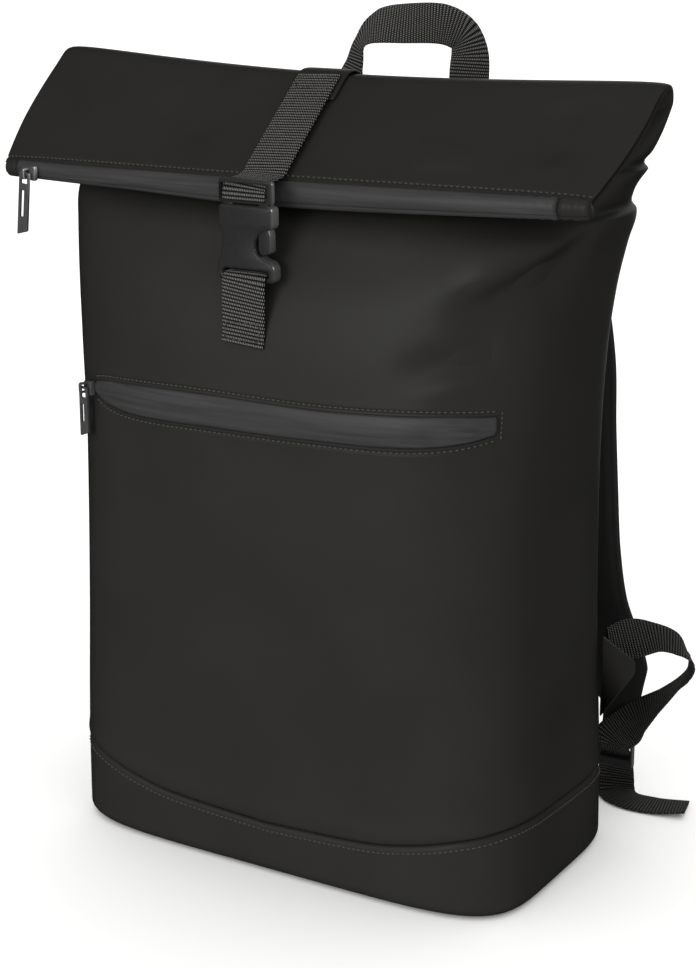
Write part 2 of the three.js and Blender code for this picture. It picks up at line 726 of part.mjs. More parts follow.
function grabHandle() {
  const right = [];
  for (const z of HANDLE_FOOT_LEVELS) {
    const share = 0.5 - HANDLE_FOOT_X / outline(bodySection(z)).length;
    right.push({ x: HANDLE_FOOT_X, y: bodyPoint(share, z).y + GAP + HANDLE_THICK / 2, z, tilt: 0 });
  }
  right.push(...HANDLE);
  const left = right.slice(0, -1).map((stop) => ({ ...stop, x: -stop.x })).reverse();
  const all = [...right, ...left];
  const stops = all.map((stop, i) => {
    const before = all[Math.max(i - 1, 0)];
    const after = all[Math.min(i + 1, all.length - 1)];
    const outward = new THREE.Vector3(after.z - before.z, 0, before.x - after.x).normalize();
    const tilt = THREE.MathUtils.degToRad(stop.tilt);
    const side = outward.multiplyScalar(Math.cos(tilt)).add(new THREE.Vector3(0, Math.sin(tilt), 0));
    return { place: new THREE.Vector3(stop.x, stop.y, stop.z), side };
  });
  return ribbon(stops, HANDLE_WIDE, HANDLE_THICK);
}

// Shoulder straps, one side being 1 for the right and -1 for the left

function shoulderStrap(side) {
  const curve = new THREE.CatmullRomCurve3(STRAP.map((p) => new THREE.Vector3(side * p.x, p.y, p.z)));
  const rows = [];
  for (let i = 0; i <= STRAP_STEPS; i += 1) {
    const t = i / STRAP_STEPS;
    const place = curve.getPoint(t);
    const way = curve.getTangent(t);
    const table = STRAP.map((row, k) => ({ ...row, at: k / (STRAP.length - 1) }));
    const yaw = THREE.MathUtils.degToRad(smoothColumn(table, 'at', t, 'yaw'));
    const across = new THREE.Vector3(Math.cos(yaw), side * Math.sin(yaw), 0);
    across.addScaledVector(way, -across.dot(way)).normalize();
    const out = way.clone().cross(across);
    const halfWide = smoothColumn(table, 'at', t, 'wide') / 2;
    const halfThick = smoothColumn(table, 'at', t, 'thick') / 2;
    const row = [];
    for (let j = 0; j < STRAP_SIDES; j += 1) {
      const angle = ((j + 0.5) / STRAP_SIDES) * 2 * Math.PI;
      const c = Math.cos(angle);
      const s = Math.sin(angle);
      const reach = (Math.abs(c) ** STRAP_POWER + Math.abs(s) ** STRAP_POWER) ** (-1 / STRAP_POWER);
      const point = place.clone().addScaledVector(across, halfWide * reach * c);
      row.push(point.addScaledVector(out, halfThick * reach * s));
    }
    rows.push(row);
  }
  return rowsToSolid(rows);
}

function adjuster(side) {
  const x = side * ADJUSTER.x;
  const half = ADJUSTER.wide / 2;
  const window = ADJUSTER_WINDOW;
  const edge = rectangle(x - half, x + half, ADJUSTER.low, ADJUSTER.high);
  const hole = rectangle(x - window.half, x + window.half, window.low, window.high);
  return uprightPlate(edge, [hole], ADJUSTER.thick, ADJUSTER.y);
}

function sideTab(side) {
  const share = column(TAB_COLUMN);
  const way = bodyNormal(share, TAB_LEVEL);
  const root = bodyPoint(share, TAB_LEVEL).addScaledVector(way, GAP);
  way.x *= side;
  root.x *= side;
  const face = new THREE.Vector3(way.y, -way.x, 0).multiplyScalar(TAB_THICK / 2);
  const rows = [-1, 1].map((layer) => TAB_EDGE.map((p) => {
    const place = root.clone().addScaledVector(way, p.out).addScaledVector(face, layer);
    return place.setZ(p.z);
  }));
  return rowsToSolid(rows);
}

function strapWebbing(side) {
  const curve = new THREE.CatmullRomCurve3(STRAP_WEB.map((p) => new THREE.Vector3(side * p.x, p.y, p.z)));
  const table = STRAP_WEB.map((row, k) => ({ ...row, at: k / (STRAP_WEB.length - 1) }));
  const stops = [];
  for (let i = 0; i <= STRAP_WEB_STEPS; i += 1) {
    const t = i / STRAP_WEB_STEPS;
    const [wx, wy, wz] = ['wx', 'wy', 'wz'].map((key) => smoothColumn(table, 'at', t, key));
    stops.push({ place: curve.getPoint(t), side: new THREE.Vector3(side * wx, wy, wz).normalize() });
  }
  return ribbon(stops, STRAP_WEB_WIDE, WEB);
}

// The bag put together

addPiece('base_panel', basePanel(), COATED);
addPiece('body_shell', bodyShell(), COATED);
addPiece('roll_top', rollTop(), COATED);
addPiece('top_zip', zipBand(ZIP_LEFT, ZIP_RIGHT, ZIP_STEPS), ZIP_BAND);
addPiece('zip_end_left', zipBand(-ZIP_TAB_END, ZIP_LEFT - GAP, ZIP_TAB_STEPS), COATED);
addPiece('zip_end_right', zipBand(ZIP_RIGHT + GAP, ZIP_TAB_END, ZIP_TAB_STEPS), COATED);
addPiece('pocket_zip', pocketZip(), ZIP_BAND);
addPiece('closure_strip', closureStrip(), COATED);
addPiece('closure_webbing', closureWebbing(), WOVEN);
addPiece('lower_webbing', lowerWebbing(), WOVEN);
addPiece('buckle_male', buckleMale(), PLASTIC);
addPiece('buckle_female', buckleFemale(), PLASTIC);
addPiece('grab_handle', grabHandle(), WOVEN);

const topPlace = rollPoint(MOUTH, TOP_SLIDER_X, 0);
const topWay = rollPoint(MOUTH, TOP_SLIDER_X + SLIDER_LONG / 2, 0).sub(topPlace);
const topFacing = new THREE.Vector3(topWay.y, -topWay.x, 0).normalize();
topPlace.addScaledVector(topFacing, GAP - ZIP_FRONT).setZ(topPlace.z - TOP_SLIDER_DROP);
addZipEnd({ slider: 'top_slider', pull: 'top_pull' }, topPlace, topFacing, TOP_PULL_LONG);

const pocketEnd = column(POCKET_SLIDER_COLUMN);
const pocketFacing = bodyNormal(pocketEnd, POCKET_SLIDER_Z);
const pocketSlider = bodyPoint(pocketEnd, POCKET_SLIDER_Z).addScaledVector(pocketFacing, GAP);
const pocketNames = { slider: 'pocket_slider', pull: 'pocket_pull' };
addZipEnd(pocketNames, pocketSlider, pocketFacing, POCKET_PULL_LONG, POCKET_PULL_YAW);

for (const [name, side] of [['left', -1], ['right', 1]]) {
  addPiece(`shoulder_strap_${name}`, shoulderStrap(side), COATED);
  addPiece(`adjuster_${name}`, adjuster(side), PLASTIC);
  addPiece(`side_tab_${name}`, sideTab(side), COATED);
  addPiece(`strap_webbing_${name}`, strapWebbing(side), WOVEN);
}

export default bag;
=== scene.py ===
import json
import math

import bmesh
import bpy
import numpy as np
from mathutils import Matrix, Vector

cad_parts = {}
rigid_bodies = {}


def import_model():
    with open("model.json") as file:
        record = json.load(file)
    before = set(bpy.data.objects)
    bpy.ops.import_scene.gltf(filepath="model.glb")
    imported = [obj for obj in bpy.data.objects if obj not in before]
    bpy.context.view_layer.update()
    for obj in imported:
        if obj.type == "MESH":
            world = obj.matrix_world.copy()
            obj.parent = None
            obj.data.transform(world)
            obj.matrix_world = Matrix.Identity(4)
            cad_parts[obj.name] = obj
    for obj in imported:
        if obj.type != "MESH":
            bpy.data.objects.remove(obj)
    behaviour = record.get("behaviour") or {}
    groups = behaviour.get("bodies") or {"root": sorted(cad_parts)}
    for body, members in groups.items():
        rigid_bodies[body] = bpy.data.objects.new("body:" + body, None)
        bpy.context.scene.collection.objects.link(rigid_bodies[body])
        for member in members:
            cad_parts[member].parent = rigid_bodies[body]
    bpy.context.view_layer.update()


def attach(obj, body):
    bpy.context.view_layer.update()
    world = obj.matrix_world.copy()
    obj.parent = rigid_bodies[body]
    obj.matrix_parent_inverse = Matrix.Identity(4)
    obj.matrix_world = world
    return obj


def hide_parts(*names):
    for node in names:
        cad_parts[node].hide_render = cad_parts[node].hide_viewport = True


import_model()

# Shapes are in millimetres until a mesh is made, with +Z up and the front facing -Y
MM = 0.001
TINY = 1e-9
BAG = "bag"


def table(columns, *rows):
    """Rows of numbers as dictionaries, by the names of their columns."""
    return [dict(zip(columns.split(), row)) for row in rows]


# Camera, from the photograph's viewing angle and framing
VIEW_AZIMUTH = 31.0
VIEW_ELEVATION = 16.2
VIEW_DISTANCE = 1268.0
VIEW_TARGET = (2.8, 1.7, 221.5)
PHOTO_HIGH_PX = 968
FOCAL_PX = 2093
SENSOR_MM = 36.0

# Light: a key from the front, a weaker one from behind, one for hard pieces alone and one for the floor alone
KEY_LIGHT = {"azimuth": -10, "elevation": 12, "angle": 30, "strength": 0.87}
BACK_LIGHT = {"azimuth": 195, "elevation": 10, "angle": 50, "strength": 0.5}
RIM_LIGHT = {"azimuth": 100, "elevation": 22, "angle": 18, "strength": 9.0}
FLOOR_LIGHT = {"azimuth": 0, "elevation": 90, "angle": 120, "strength": 1.3}
WORLD_COLOUR = (1.0, 0.995, 0.985, 1)
WORLD_STRENGTH = 0.87
FLOOR_GLOW = 0.03

# Floor in metres: level as far as its reach, then bent up
COVE_MIDDLE = 0.01
COVE_REACH = 8.0
COVE_BEND = 3.0
COVE_STEPS = 12
COVE_AROUND = 96

# Darkest and lightest colours of each material
COATED_COLOURS = (0.0224, 0.0218, 0.02), (0.0258, 0.025, 0.023)
STRAP_COLOURS = (0.0195, 0.0195, 0.019), (0.0243, 0.0243, 0.0236)
TAPE_COLOURS = (0.034, 0.034, 0.0356), (0.049, 0.049, 0.0515)
# Webbing: the darkest colour is painted shade between the ribs, the lightest a painted highlight on the rib
# tops
WEB_SHADE_AND_HIGHLIGHT_COLOURS = (0.003, 0.003, 0.003), (0.25, 0.245, 0.233)
STRAP_WEB_SHADE_AND_HIGHLIGHT_COLOURS = (0.003, 0.003, 0.003), (0.13, 0.128, 0.122)
PLASTIC_COLOURS = (0.018, 0.018, 0.018), (0.025, 0.025, 0.025)
METAL_COLOURS = (0.075, 0.075, 0.078), (0.125, 0.125, 0.13)
THREAD_COLOURS = (0.04, 0.038, 0.0345), (0.09, 0.0862, 0.0785)
FLOOR_COLOURS = (0.92, 0.92, 0.915), (0.94, 0.94, 0.935)

# Cloth and clearances
GAP = 0.35
CLOTH = 2.0
WEB = 1.8

# Steps of curves
CURVE_STEPS = 40
OUTLINE_STEPS = 721
ROUND_STEPS = 2881
KNOT_LEAST = 1e-4

# Body: level sections, with how square the front and back corners are
BODY = table(
    "z half front back front_power back_power",
    (0, 155, -88, 87, 5.4, 5),
    (60, 154, -91, 88, 5, 4.8),
    (150, 150.5, -97, 88, 4.2, 4.6),
    (250, 149.5, -101, 88, 3.6, 4.5),
    (310, 152.5, -101, 87, 3.4, 4.4),
    (350, 158, -95, 84, 3.3, 4.4),
    (378, 164.5, -84, 80, 3.3, 4.4),
    (392, 169, -76, 76, 3.2, 4.3),
)
BODY_TOP = 392.0
BODY_COLUMNS = 400
COLUMN_LEVEL = 200.0
CAD_COLUMNS = 56

# Dents in the front panel: strokes by distance round from the middle and height, with a width on each side
DENT_COLUMNS = "x z to_x to_z left right depth near fade"
DENTS = table(
    DENT_COLUMNS,
    (116, 347, 200, 391, 10, 30, 5, 0.35, 0.4),
    (136, 376, 178, 405, 36, 12, -10, 0, 0.6),
    (158, 334, 86, 317, 10, 10, 3.6, 0.2, 0.6),
    (160, 325, 104, 308, 8, 8, -1.6, 0.3, 0.5),
)
DENT_LEVEL = 372.0
DENT_CORNER = 0.35
DENT_EARLY = -0.02
DENT_LATE = 1.05
DENT_TOP_BELOW = 4
DENT_TOP_ABOVE = 12

# Soft dents in the flap, by distance across and down from the fold
FLAP_DENTS = table(
    DENT_COLUMNS,
    (-104, 18, -48, 60, 12, 15, 1.7, 0.4, 0.4),
    (74, 54, 134, 60, 14, 12, -1.3, 0.4, 0.4),
    (148, 8, 160, 64, 11, 13, 1.8, 0.3, 0.3),
)
FLAP_DENT_FADE = 10.0

# Pleats in the sides of the neck: where the cloth steps out, on each side
PLEATS = table(
    "side s out reach",
    (1, 424, 4.5, 14),
    (1, 399, 4, 13),
    (-1, 430, 3, 12),
    (-1, 406, 3, 11),
)
PLEAT_STEP = 1.6
PLEAT_SPREAD = 0.55
PLEAT_NOTCH = 0.5
GUSSET_DEEP = 8.0
GUSSET_SPREAD = 0.24
GUSSET_FROM = 470.0
GUSSET_FULL = 492.0

# Base panel: height of its seam, by share of the way round from the front middle
SEAM = table(
    "share z",
    (0, 33),
    (0.08, 37),
    (0.115, 42.5),
    (0.15, 50),
    (0.18, 54.5),
    (0.22, 53),
    (0.27, 51),
    (0.5, 46),
)
SEAM_LEVEL = 45.0
BASE_FILLET = 8.0
BASE_FILLET_STEPS = 9
BASE_INSET = 60
BASE_RINGS = 6
BASE_WALL_STEPS = 9
BASE_RIM_DEPTHS = [6, 4.6, 3.4, 2.4, 1.6, 0.9, 0.4, 0.0]
BASE_RIM_TUCK = 0.8
BASE_STITCH_DOWN = 4.4
RIM_TUCK = 1.8
RIM_REACH = 0.9
RIM_PUFF = 0.5
RIM_PUFF_AT = 6.0
RIM_PUFF_WIDE = 5.0

# Neck, fold and flap of the roll top
NECK = table(
    "z half front back front_power back_power dip bow skew lift",
    (408, 171, -53, 65, 3.6, 3.6, 0.5, 2, -0.003, 0),
    (424, 180, -31, 53, 3.2, 3.2, 1, 4.5, -0.006, 0.5),
    (440, 190, -11, 38, 2.8, 2.8, 3.5, 7, -0.01, 2),
    (456, 197, 9, 20, 3, 3, 5.5, 9, -0.013, 4),
)
UPRIGHT = {"turn": 0.0, "dip": 0.0, "bow": 0.0, "skew": 0.0, "lift": 0.0, "share": 0.0}
SECTION_COLUMNS = "y z turn half deep front_power back_power dip bow skew lift share"
SLEEVE_HALF = 5.5
FOLD_RADIUS = 10.5
FOLD_TURN = math.radians(128.7)
FOLD_STEPS = 5
FLAP_STOPS = [21, 50, 84]
FLAP_POWER = 3.4
ROLL_LONG = FOLD_RADIUS * FOLD_TURN + FLAP_STOPS[-1]
FOLD_START = NECK[-1]["z"]
FOLD_END = FOLD_START + FOLD_RADIUS * FOLD_TURN
MOUTH = FOLD_START + ROLL_LONG
ROLL_WIDTH = table("share half", (0, 197), (0.25, 201), (0.6, 200), (1, 192))
FLAP_LEFT_WIDER = 0.026
FLAP_LEFT_FROM = 0.1
FLAP_LEFT_FULL = 1.0
RIDGE_LIFT = 4.0
RIDGE_DIP = 5.5
RIDGE_BOW = 9
MOUTH_BOW = 10
RIDGE_SKEW = -0.013
MOUTH_SKEW = 0.013
ROLL_INNER_ROWS = 16
FLAP_STITCHED = MOUTH - 3.8
FLAP_STITCH_FROM = 0.35
FLAP_STITCH_STEPS = 300
ROLL_LEVELS = [
    *(BODY_TOP, BODY_TOP + 0.1),
    *np.linspace(BODY_TOP + 1, FLAP_STITCHED - 3, 150),
    *np.linspace(FLAP_STITCHED - 2, FLAP_STITCHED + 2, 12),
    *(MOUTH - 1, MOUTH - 0.1, MOUTH),
]

# Top zip: section of the band from the middle of the mouth, and how tall it is along the mouth
ZIP_SECTION = [(-3.8, 4), (-6.3, 1.2), (-6.8, -1.9), (-5.8, -5.2), (-3, -7.6), (1, -7.4), (3.2, -4.4)]
ZIP_TOP = ZIP_SECTION[0][1]
ZIP_FRONT = -6.8
ZIP_AROUND = 72
ZIP_CURVE_STEPS = 24
ZIP_GROOVE = (-5.3, -5.9)
ZIP_GROOVE_DEEP = 1.3
ZIP_GROOVE_WIDE = 0.5
ZIP_TALL = table("x tall", (-190, 0.86), (-90, 1.04), (-20, 1.26), (60, 1.22), (120, 1.1), (190, 0.98))
ZIP_WRINKLE = 0.05
ZIP_WRINKLE_LONG = 6.5
ZIP_WRINKLE_FROM = 135
ZIP_LEFT = -180
ZIP_RIGHT = 173
ZIP_STEPS = 160
ZIP_TAB_END = 190
ZIP_TAB_STEPS = 26
ZIP_TAB_SWELL = 1.03
ZIP_TAB_TAPER = 0.25
ZIP_TAB_POWER = 8

# Pocket zip, by columns of the body's outline
POCKET = table(
    "column low high",
    (-7.55, 281.5, 290.5),
    (-6.9, 278, 292.2),
    (-6, 275.8, 293.2),
    (-4.5, 275, 294.4),
    (-2, 275.8, 295.4),
    (1, 276.6, 295.3),
    (3, 277.6, 295.6),
    (6, 278.8, 297.4),
    (8, 281.8, 298.4),
    (9.5, 286.4, 298),
)
POCKET_LEVEL = 288.0
POCKET_STEPS = 180
POCKET_ACROSS = 37
POCKET_SUNK = 1.3
POCKET_SEAT = 0.1
POCKET_UNDER = 0.6
POCKET_CROWN = 1.7
POCKET_EDGE = 0.15
POCKET_GROOVE = 0.9
POCKET_GROOVE_WIDE = 1.1
POCKET_LEFT_FADE = 0.25
POCKET_RIGHT_FADE = 0.1
POCKET_STITCH_OFF = 2.3
POCKET_END_STITCHES = {"column": 0.22, "steps": 40, "out": 0.2, "pitch": 2.6, "long": 2.1}
LIP_HIGH = 0.8
LIP_WIDE = 5.0
LIP_END = 26.0
LIP_SEAT = 0.6

# Rows of the body: they bend to follow the pocket's edges, which nominally lie level
LOW_NOMINAL = 276.0
HIGH_NOMINAL = 294.0
WARP_BOTTOM = 235.0
WARP_TOP = 335.0
SEAM_ROWS_TOP = 85.0
SEAM_ROW_HEIGHTS = [0.0, 0.4, 0.9, 1.6, 2.6, 4.0, *np.linspace(6, 30, 9)]
BODY_LEVELS = [
    *np.arange(SEAM_ROWS_TOP, 262, 3.0),
    *np.arange(262, 272, 1.2),
    *np.arange(272.2, 275.3, 0.35),
    *(275.6, LOW_NOMINAL, 276.15),
    *np.linspace(277, 293, 7),
    *(293.85, HIGH_NOMINAL, 294.4),
    *np.arange(294.8, 297.9, 0.35),
    *np.arange(298.6, 310, 1.2),
    *np.arange(310, BODY_TOP - 1, 2.6),
    *(BODY_TOP - 0.1, BODY_TOP),
]
INNER_LEVELS = [BODY_TOP, BODY_TOP - 0.1, BODY_TOP - 8, *range(360, 100, -40), SEAM_ROWS_TOP]
INNER_RIM = 6
INNER_TUCK = 0.5

# Closure strap, on the middle line
CLOSURE_LEAN = -6
STRIP_WIDE = 33
STRIP_THICK = 1.8
STRIP_GAP = 0.5
STRIP_START = 424.0
STRIP_BELOW = 19.0
STRIP_STOPS = 24
WEB_WIDE = 28
WEB_STOPS = 10
CLOSURE_END = table(
    "x out z",
    (-0.8, 3.0, 415.8),
    (-1.2, 5.4, 413),
    (-1.3, 6.4, 409.6),
    (-1.3, 5.4, 406.2),
    (-1.3, 2.2, 404.9),
    (-1.3, -1.2, 407.4),
)
LOWER_WEB_FOOT = table("x z", (-4, 326), (-3.7, 330))
LOWER_WEB_END = table(
    "x out z",
    (-2.9, 5.8, 340),
    (-1.6, 7.6, 352),
    (-0.6, 8.9, 359.5),
    (-0.2, 9.2, 362.8),
    (0, 8.0, 366),
    (0, 4.4, 367),
    (0, 0.5, 366.6),
)
BOX_STITCH_HALF = 11.0
BOX_STITCH_LONG = 10.0
BOX_STITCH_START = 2.5
BOX_STITCH_STEPS = 30

# Buckle: frame and arms of the male half, and outline of the female half
BUCKLE_BACK = -95
MALE = {"half": 17.4, "low": 404.6, "high": 418.0, "thick": 7.0, "bars": 3.4, "round": 2.4, "bevel": 0.9}
MALE_WINDOW = {"left": -16.2, "right": 13.7, "low": 406.4, "high": 415.6, "round": 1.0}
ARM = {"near": 8, "far": 14.6, "head": 15.6, "thick": 6.4, "round": 2.0, "bevel": 0.7}
ARM_LEVELS = {"top": 405.6, "low": 376.8, "head_low": 378.6, "head_top": 388.5}
ARM_TIP = 3
ARM_NOSE = 2
FEMALE = {"thick": 8.6, "out": 0.8, "round": 3.2, "steps": 7, "bevel": 1.5}
FEMALE_SLOT = {"left": -14.6, "right": 14.6, "low": 365.3, "high": 368.7, "round": 1.2}
FEMALE_EDGE = [
    (17.4, 404.2), (17.4, 391.8), (10.4, 390.4), (6.4, 386), (6.4, 380), (9.6, 376),
    (16, 374), (18.4, 371), (18.4, 364.4), (16.6, 362.4), (-16.6, 362.4), (-18.4, 364.4),
    (-18.4, 371), (-16.6, 375), (-15.2, 380), (-15.2, 389), (-17.4, 391.8), (-17.4, 404.2),
]

# Grab handle: stations of the loop from right to left, with the way across the band
HANDLE_WIDE = 24
HANDLE_THICK = 2.2
HANDLE_FOOT_LEVELS = [366, 379, 391]
HANDLE_FOOT_X = 37
STATION_COLUMNS = "x y z wx wy wz"
HANDLE = table(
    STATION_COLUMNS,
    (39, 79, 404, 1, 0.06, 0),
    (40, 79.5, 434, 1, 0.2, 0),
    (40, 80, 460, 0.93, 0.36, 0),
    (40, 80, 475, 0.97, 0.08, 0.2),
    (36.7, 80, 483.8, 0.87, -0.14, 0.46),
    (31, 80, 487.6, 0.52, -0.1, 0.84),
    (21.5, 80, 490.4, -0.08, 0, 1),
    (-2.5, 81, 490, -0.1, 0.2, 0.97),
    (-24.5, 82, 487.6, 0, 0.5, 0.87),
    (-33.5, 82.5, 482.6, -0.42, 0.7, 0.56),
    (-38, 82, 475, -0.74, 0.66, -0.04),
    (-40, 81, 465, -0.83, 0.53, -0.16),
    (-42, 80, 455, -0.94, 0.29, -0.17),
    (-41, 79.5, 434, -1, 0.15, 0),
    (-39, 79, 404, -1, 0.06, 0),
)

# Shoulder strap on the right of the back, from its sewn top to its lower end
STRAP = table(
    "x y z wide thick yaw",
    (84, 78.1, 391, 56, 5, -3),
    (86, 90, 376, 56, 8, -2),
    (90.5, 110, 340, 56, 11, 0),
    (94.5, 122, 290, 56, 11, 0),
    (95, 126, 245, 56, 11, 0),
    (97.5, 126.5, 205, 56, 11, 0),
    (100, 128.5, 163, 56, 11, 0),
    (105, 130, 130, 56, 11, 0),
    (112, 132.5, 108, 55, 11, 0),
    (120, 133, 90, 52, 11, 0),
    (127, 131.8, 77, 46, 9, 0),
    (131, 129.6, 68, 31, 6, 0),
    (132.5, 126.2, 58, 23, 4.5, 0),
    (132.8, 124.2, 44.4, 22, 4, 0),
)
STRAP_STEPS = 14
STRAP_ACROSS = 31
STRAP_POWER = 3.5
STRAP_SWELL = 0.8
STRAP_CHANNEL = {"deep": 0.16, "at": 0.11, "wide": 0.03}
STRAP_STITCH_AT = 0.89
STRAP_STITCH_UP = 0.62

# Ladder lock, side tab and strap webbing on the right
ADJUSTER = {"x": 129.6, "y": 126, "half": 15.0, "low": 20, "high": 43, "thick": 4, "round": 3.0, "bevel": 1.0}
ADJUSTER_WINDOW = {"left": -12.9, "right": 12.9, "low": 26, "high": 37, "round": 1.2}
TAB = {"column": 18, "level": 80.0, "thick": 3, "round": 2.0, "bevel": 0.8}
TAB_EDGE = [(0, 80), (20.5, 109), (20.5, 116.5), (0, 133)]
STRAP_WEB_WIDE = 25
STRAP_WEB = table(
    STATION_COLUMNS,
    (143.5, 79.5, 119, 0, 0, 1),
    (153, 93, 121.5, -0.3, 0.35, 0.89),
    (164, 104.5, 121, -0.59, 0.64, 0.49),
    (176, 112, 116, -0.4, 0.88, 0.25),
    (183, 116, 106, -0.5, 0.84, -0.12),
    (181.5, 118, 97, -0.42, 0.9, -0.1),
    (175, 119, 87, -0.25, 0.95, 0.1),
    (163, 118, 73.5, -0.34, 0.9, 0.29),
    (150, 117.5, 60.5, -0.61, 0.6, 0.52),
    (141, 118.3, 50, -0.75, 0.12, 0.64),
    (132.5, 119.5, 42, -0.97, 0, 0.25),
    (130, 120.2, 37, -1, 0, 0),
    (129.6, 124, 31.5, -1, 0, 0),
    (129.6, 128, 25.4, -1, 0, 0),
    (129.6, 130.5, 18, -1, 0, 0),
    (130, 131.5, 8, -1, 0, 0),
    (131.5, 127, 2, -0.97, -0.25, 0),
    (138, 120, 1.2, -0.8, -0.6, 0),
    (147.5, 116.5, 1.2, -0.35, -0.94, 0),
    (163, 117.5, 1.2, 0.15, -0.99, 0),
    (183, 122.5, 3, 0.25, -0.96, 0.1),
)

# Sliders and pulls of the zips
TOP_SLIDER_X = -167.0
TOP_SLIDER_DROP = 2.4
TOP_PULL_LONG = 37
TOP_PULL_LEAN = 6
POCKET_SLIDER_COLUMN = -8.0
POCKET_SLIDER_Z = 285.0
POCKET_PULL_LONG = 30
POCKET_PULL_YAW = 12
SLIDER = {"long": 11.0, "tall": 9.0, "thick": 3.2, "taper": 1.6, "round": 1.6, "bevel": 0.6}
ARCH = {"wide": 2.6, "tall": 6.4, "out": 4.9, "bar": 1.2, "sunk": 0.5, "round": 1.6, "bevel": 0.4}
ARCH_EYE_ROUND = 0.8
PIVOT_OUT = 2.1
PULL = {"wide": 8.0, "thick": 1.6, "bar": 1.3, "leg": 1.5, "eye": 6.0, "slant": 3.0}
PULL_ROUND = 1.0
PULL_BEVEL = 0.3
PULL_EYE_ROUND = 0.6
PULL_SLOT = {"left": -2.2, "right": 0.4, "top": -10, "end": 0.3, "round": 0.5}

# Webbing ribs and yarns
RIB_PITCH = 1.9
CLOSURE_RIB_PITCH = 2.15
RIB_ROWS = 6
RIB_HIGH = 0.45
WEB_ACROSS = 13
WEB_EDGE_POWER = 10
RIB_FADE_POWER = 12
STRIP_ROW = 1.0
RIBBON_LEAST_ROWS = 8
YARN_PITCH = 1.1
YARN_SWING = 0.42

# Stitches, and the channels that they draw into the cloth
STITCH_PITCH = 3.3
STITCH_LONG = 2.4
STITCH_RADIUS = 0.54
STITCH_RINGS = 5
STITCH_SIDES = 6
STITCH_RISE = 0.25
STITCH_TAPER = 0.92
STITCH_LOOK = 0.3
CHANNEL_DEEP = 0.6
CHANNEL_WIDE = 0.75
CHANNEL_SEAT = 0.6

# Plates
PLATE_BEVEL_STEPS = 2
PLATE_LEAST = 0.01
PLATE_MERGE = 1e-6
CORNER_SHARE = 0.45
CORNER_STEPS = 5


# Curves and surfaces

def smooth(rows, key, column):
    """Curve through one column of a table, as a function of its key column."""
    xs = np.array([row[key] for row in rows], float)
    ys = np.array([row[column] for row in rows], float)
    slopes = np.empty_like(ys)
    slopes[1:-1] = (ys[2:] - ys[:-2]) / (xs[2:] - xs[:-2])
    slopes[0] = (ys[1] - ys[0]) / (xs[1] - xs[0])
    slopes[-1] = (ys[-1] - ys[-2]) / (xs[-1] - xs[-2])

    def at(v):
        v = np.clip(v, xs[0], xs[-1])
        i = np.clip(np.searchsorted(xs, v, side="right") - 1, 0, len(xs) - 2)
        span = xs[i + 1] - xs[i]
        t = (v - xs[i]) / span
        rise = t * t * (3 - 2 * t)
        level = ys[i] * (1 - rise) + ys[i + 1] * rise
        return level + span * (slopes[i] * t * (1 - t) ** 2 + slopes[i + 1] * t * t * (t - 1))

    return at


def smoothstep(low, high, v):
    t = np.clip((v - low) / (high - low), 0, 1)
    return t * t * (3 - 2 * t)


def unit(v):
    return v / np.maximum(np.linalg.norm(v, axis=-1, keepdims=True), TINY)


def curve_through(places, per=CURVE_STEPS):
    """Points of a smooth curve through places, with a number of steps for each stretch."""
    p = np.asarray(places, float)
    p = np.vstack([2 * p[0] - p[1], p, 2 * p[-1] - p[-2]])
    knots = np.maximum(np.linalg.norm(np.diff(p, axis=0), axis=1) ** 0.5, KNOT_LEAST)[:, None]
    before, here, after = knots[:-2], knots[1:-1], knots[2:]
    a, b, c, d = p[:-3], p[1:-2], p[2:-1], p[3:]
    leave = ((b - a) / before - (c - a) / (before + here) + (c - b) / here) * here
    arrive = ((c - b) / here - (d - b) / (here + after) + (d - c) / after) * here
    t = (np.arange(per) / per)[None, :, None]
    h00 = 2 * t**3 - 3 * t**2 + 1
    h10 = t**3 - 2 * t**2 + t
    h01 = 3 * t**2 - 2 * t**3
    h11 = t**3 - t**2
    points = h00 * b[:, None] + h10 * leave[:, None] + h01 * c[:, None] + h11 * arrive[:, None]
    return np.vstack([points.reshape(-1, p.shape[1]), p[-2]])


def lengths_along(points):
    steps = np.linalg.norm(np.diff(points, axis=0), axis=1)
    return np.concatenate([[0], np.cumsum(steps)])


def resample(points, at, along):
    return np.stack([np.interp(at, along, points[:, k]) for k in range(points.shape[1])], -1)


def superellipse(theta, half, depth, power):
    c = np.cos(theta)
    s = np.sin(theta)
    reach = (np.abs(c) ** power + np.abs(s) ** power) ** (-1 / power)
    return half * reach * c, depth * reach * s


def tube_sections():
    """Sections of the whole tube by the way along it: body, neck, fold and flap."""
    rows = []
    for row in BODY + NECK:
        middle = (row["front"] + row["back"]) / 2
        deep = (row["back"] - row["front"]) / 2
        rows.append({**UPRIGHT, **row, "s": row["z"], "y": middle, "deep": deep})
    width = smooth(ROLL_WIDTH, "share", "half")
    axis = np.array([rows[-1]["y"] - FOLD_RADIUS, FOLD_START])

    def spoke(turn):
        return np.array([math.cos(turn), math.sin(turn)])

    stops = [(FOLD_TURN * i / FOLD_STEPS, 0) for i in range(1, FOLD_STEPS + 1)]
    stops += [(FOLD_TURN, down) for down in FLAP_STOPS]
    for turn, down in stops:
        centre = axis + spoke(turn) * FOLD_RADIUS + spoke(turn + math.pi / 2) * down
        done = FOLD_RADIUS * turn + down
        share = done / ROLL_LONG
        rows.append({
            "s": FOLD_START + done,
            "y": centre[0],
            "z": centre[1],
            "turn": turn,
            "half": float(width(share)),
            "deep": SLEEVE_HALF,
            "front_power": FLAP_POWER,
            "back_power": FLAP_POWER,
            "dip": RIDGE_DIP * (1 - share),
            "bow": RIDGE_BOW + (MOUTH_BOW - RIDGE_BOW) * share,
            "skew": RIDGE_SKEW + (MOUTH_SKEW - RIDGE_SKEW) * share,
            "lift": RIDGE_LIFT * (1 - share),
            "share": share,
        })
    return rows


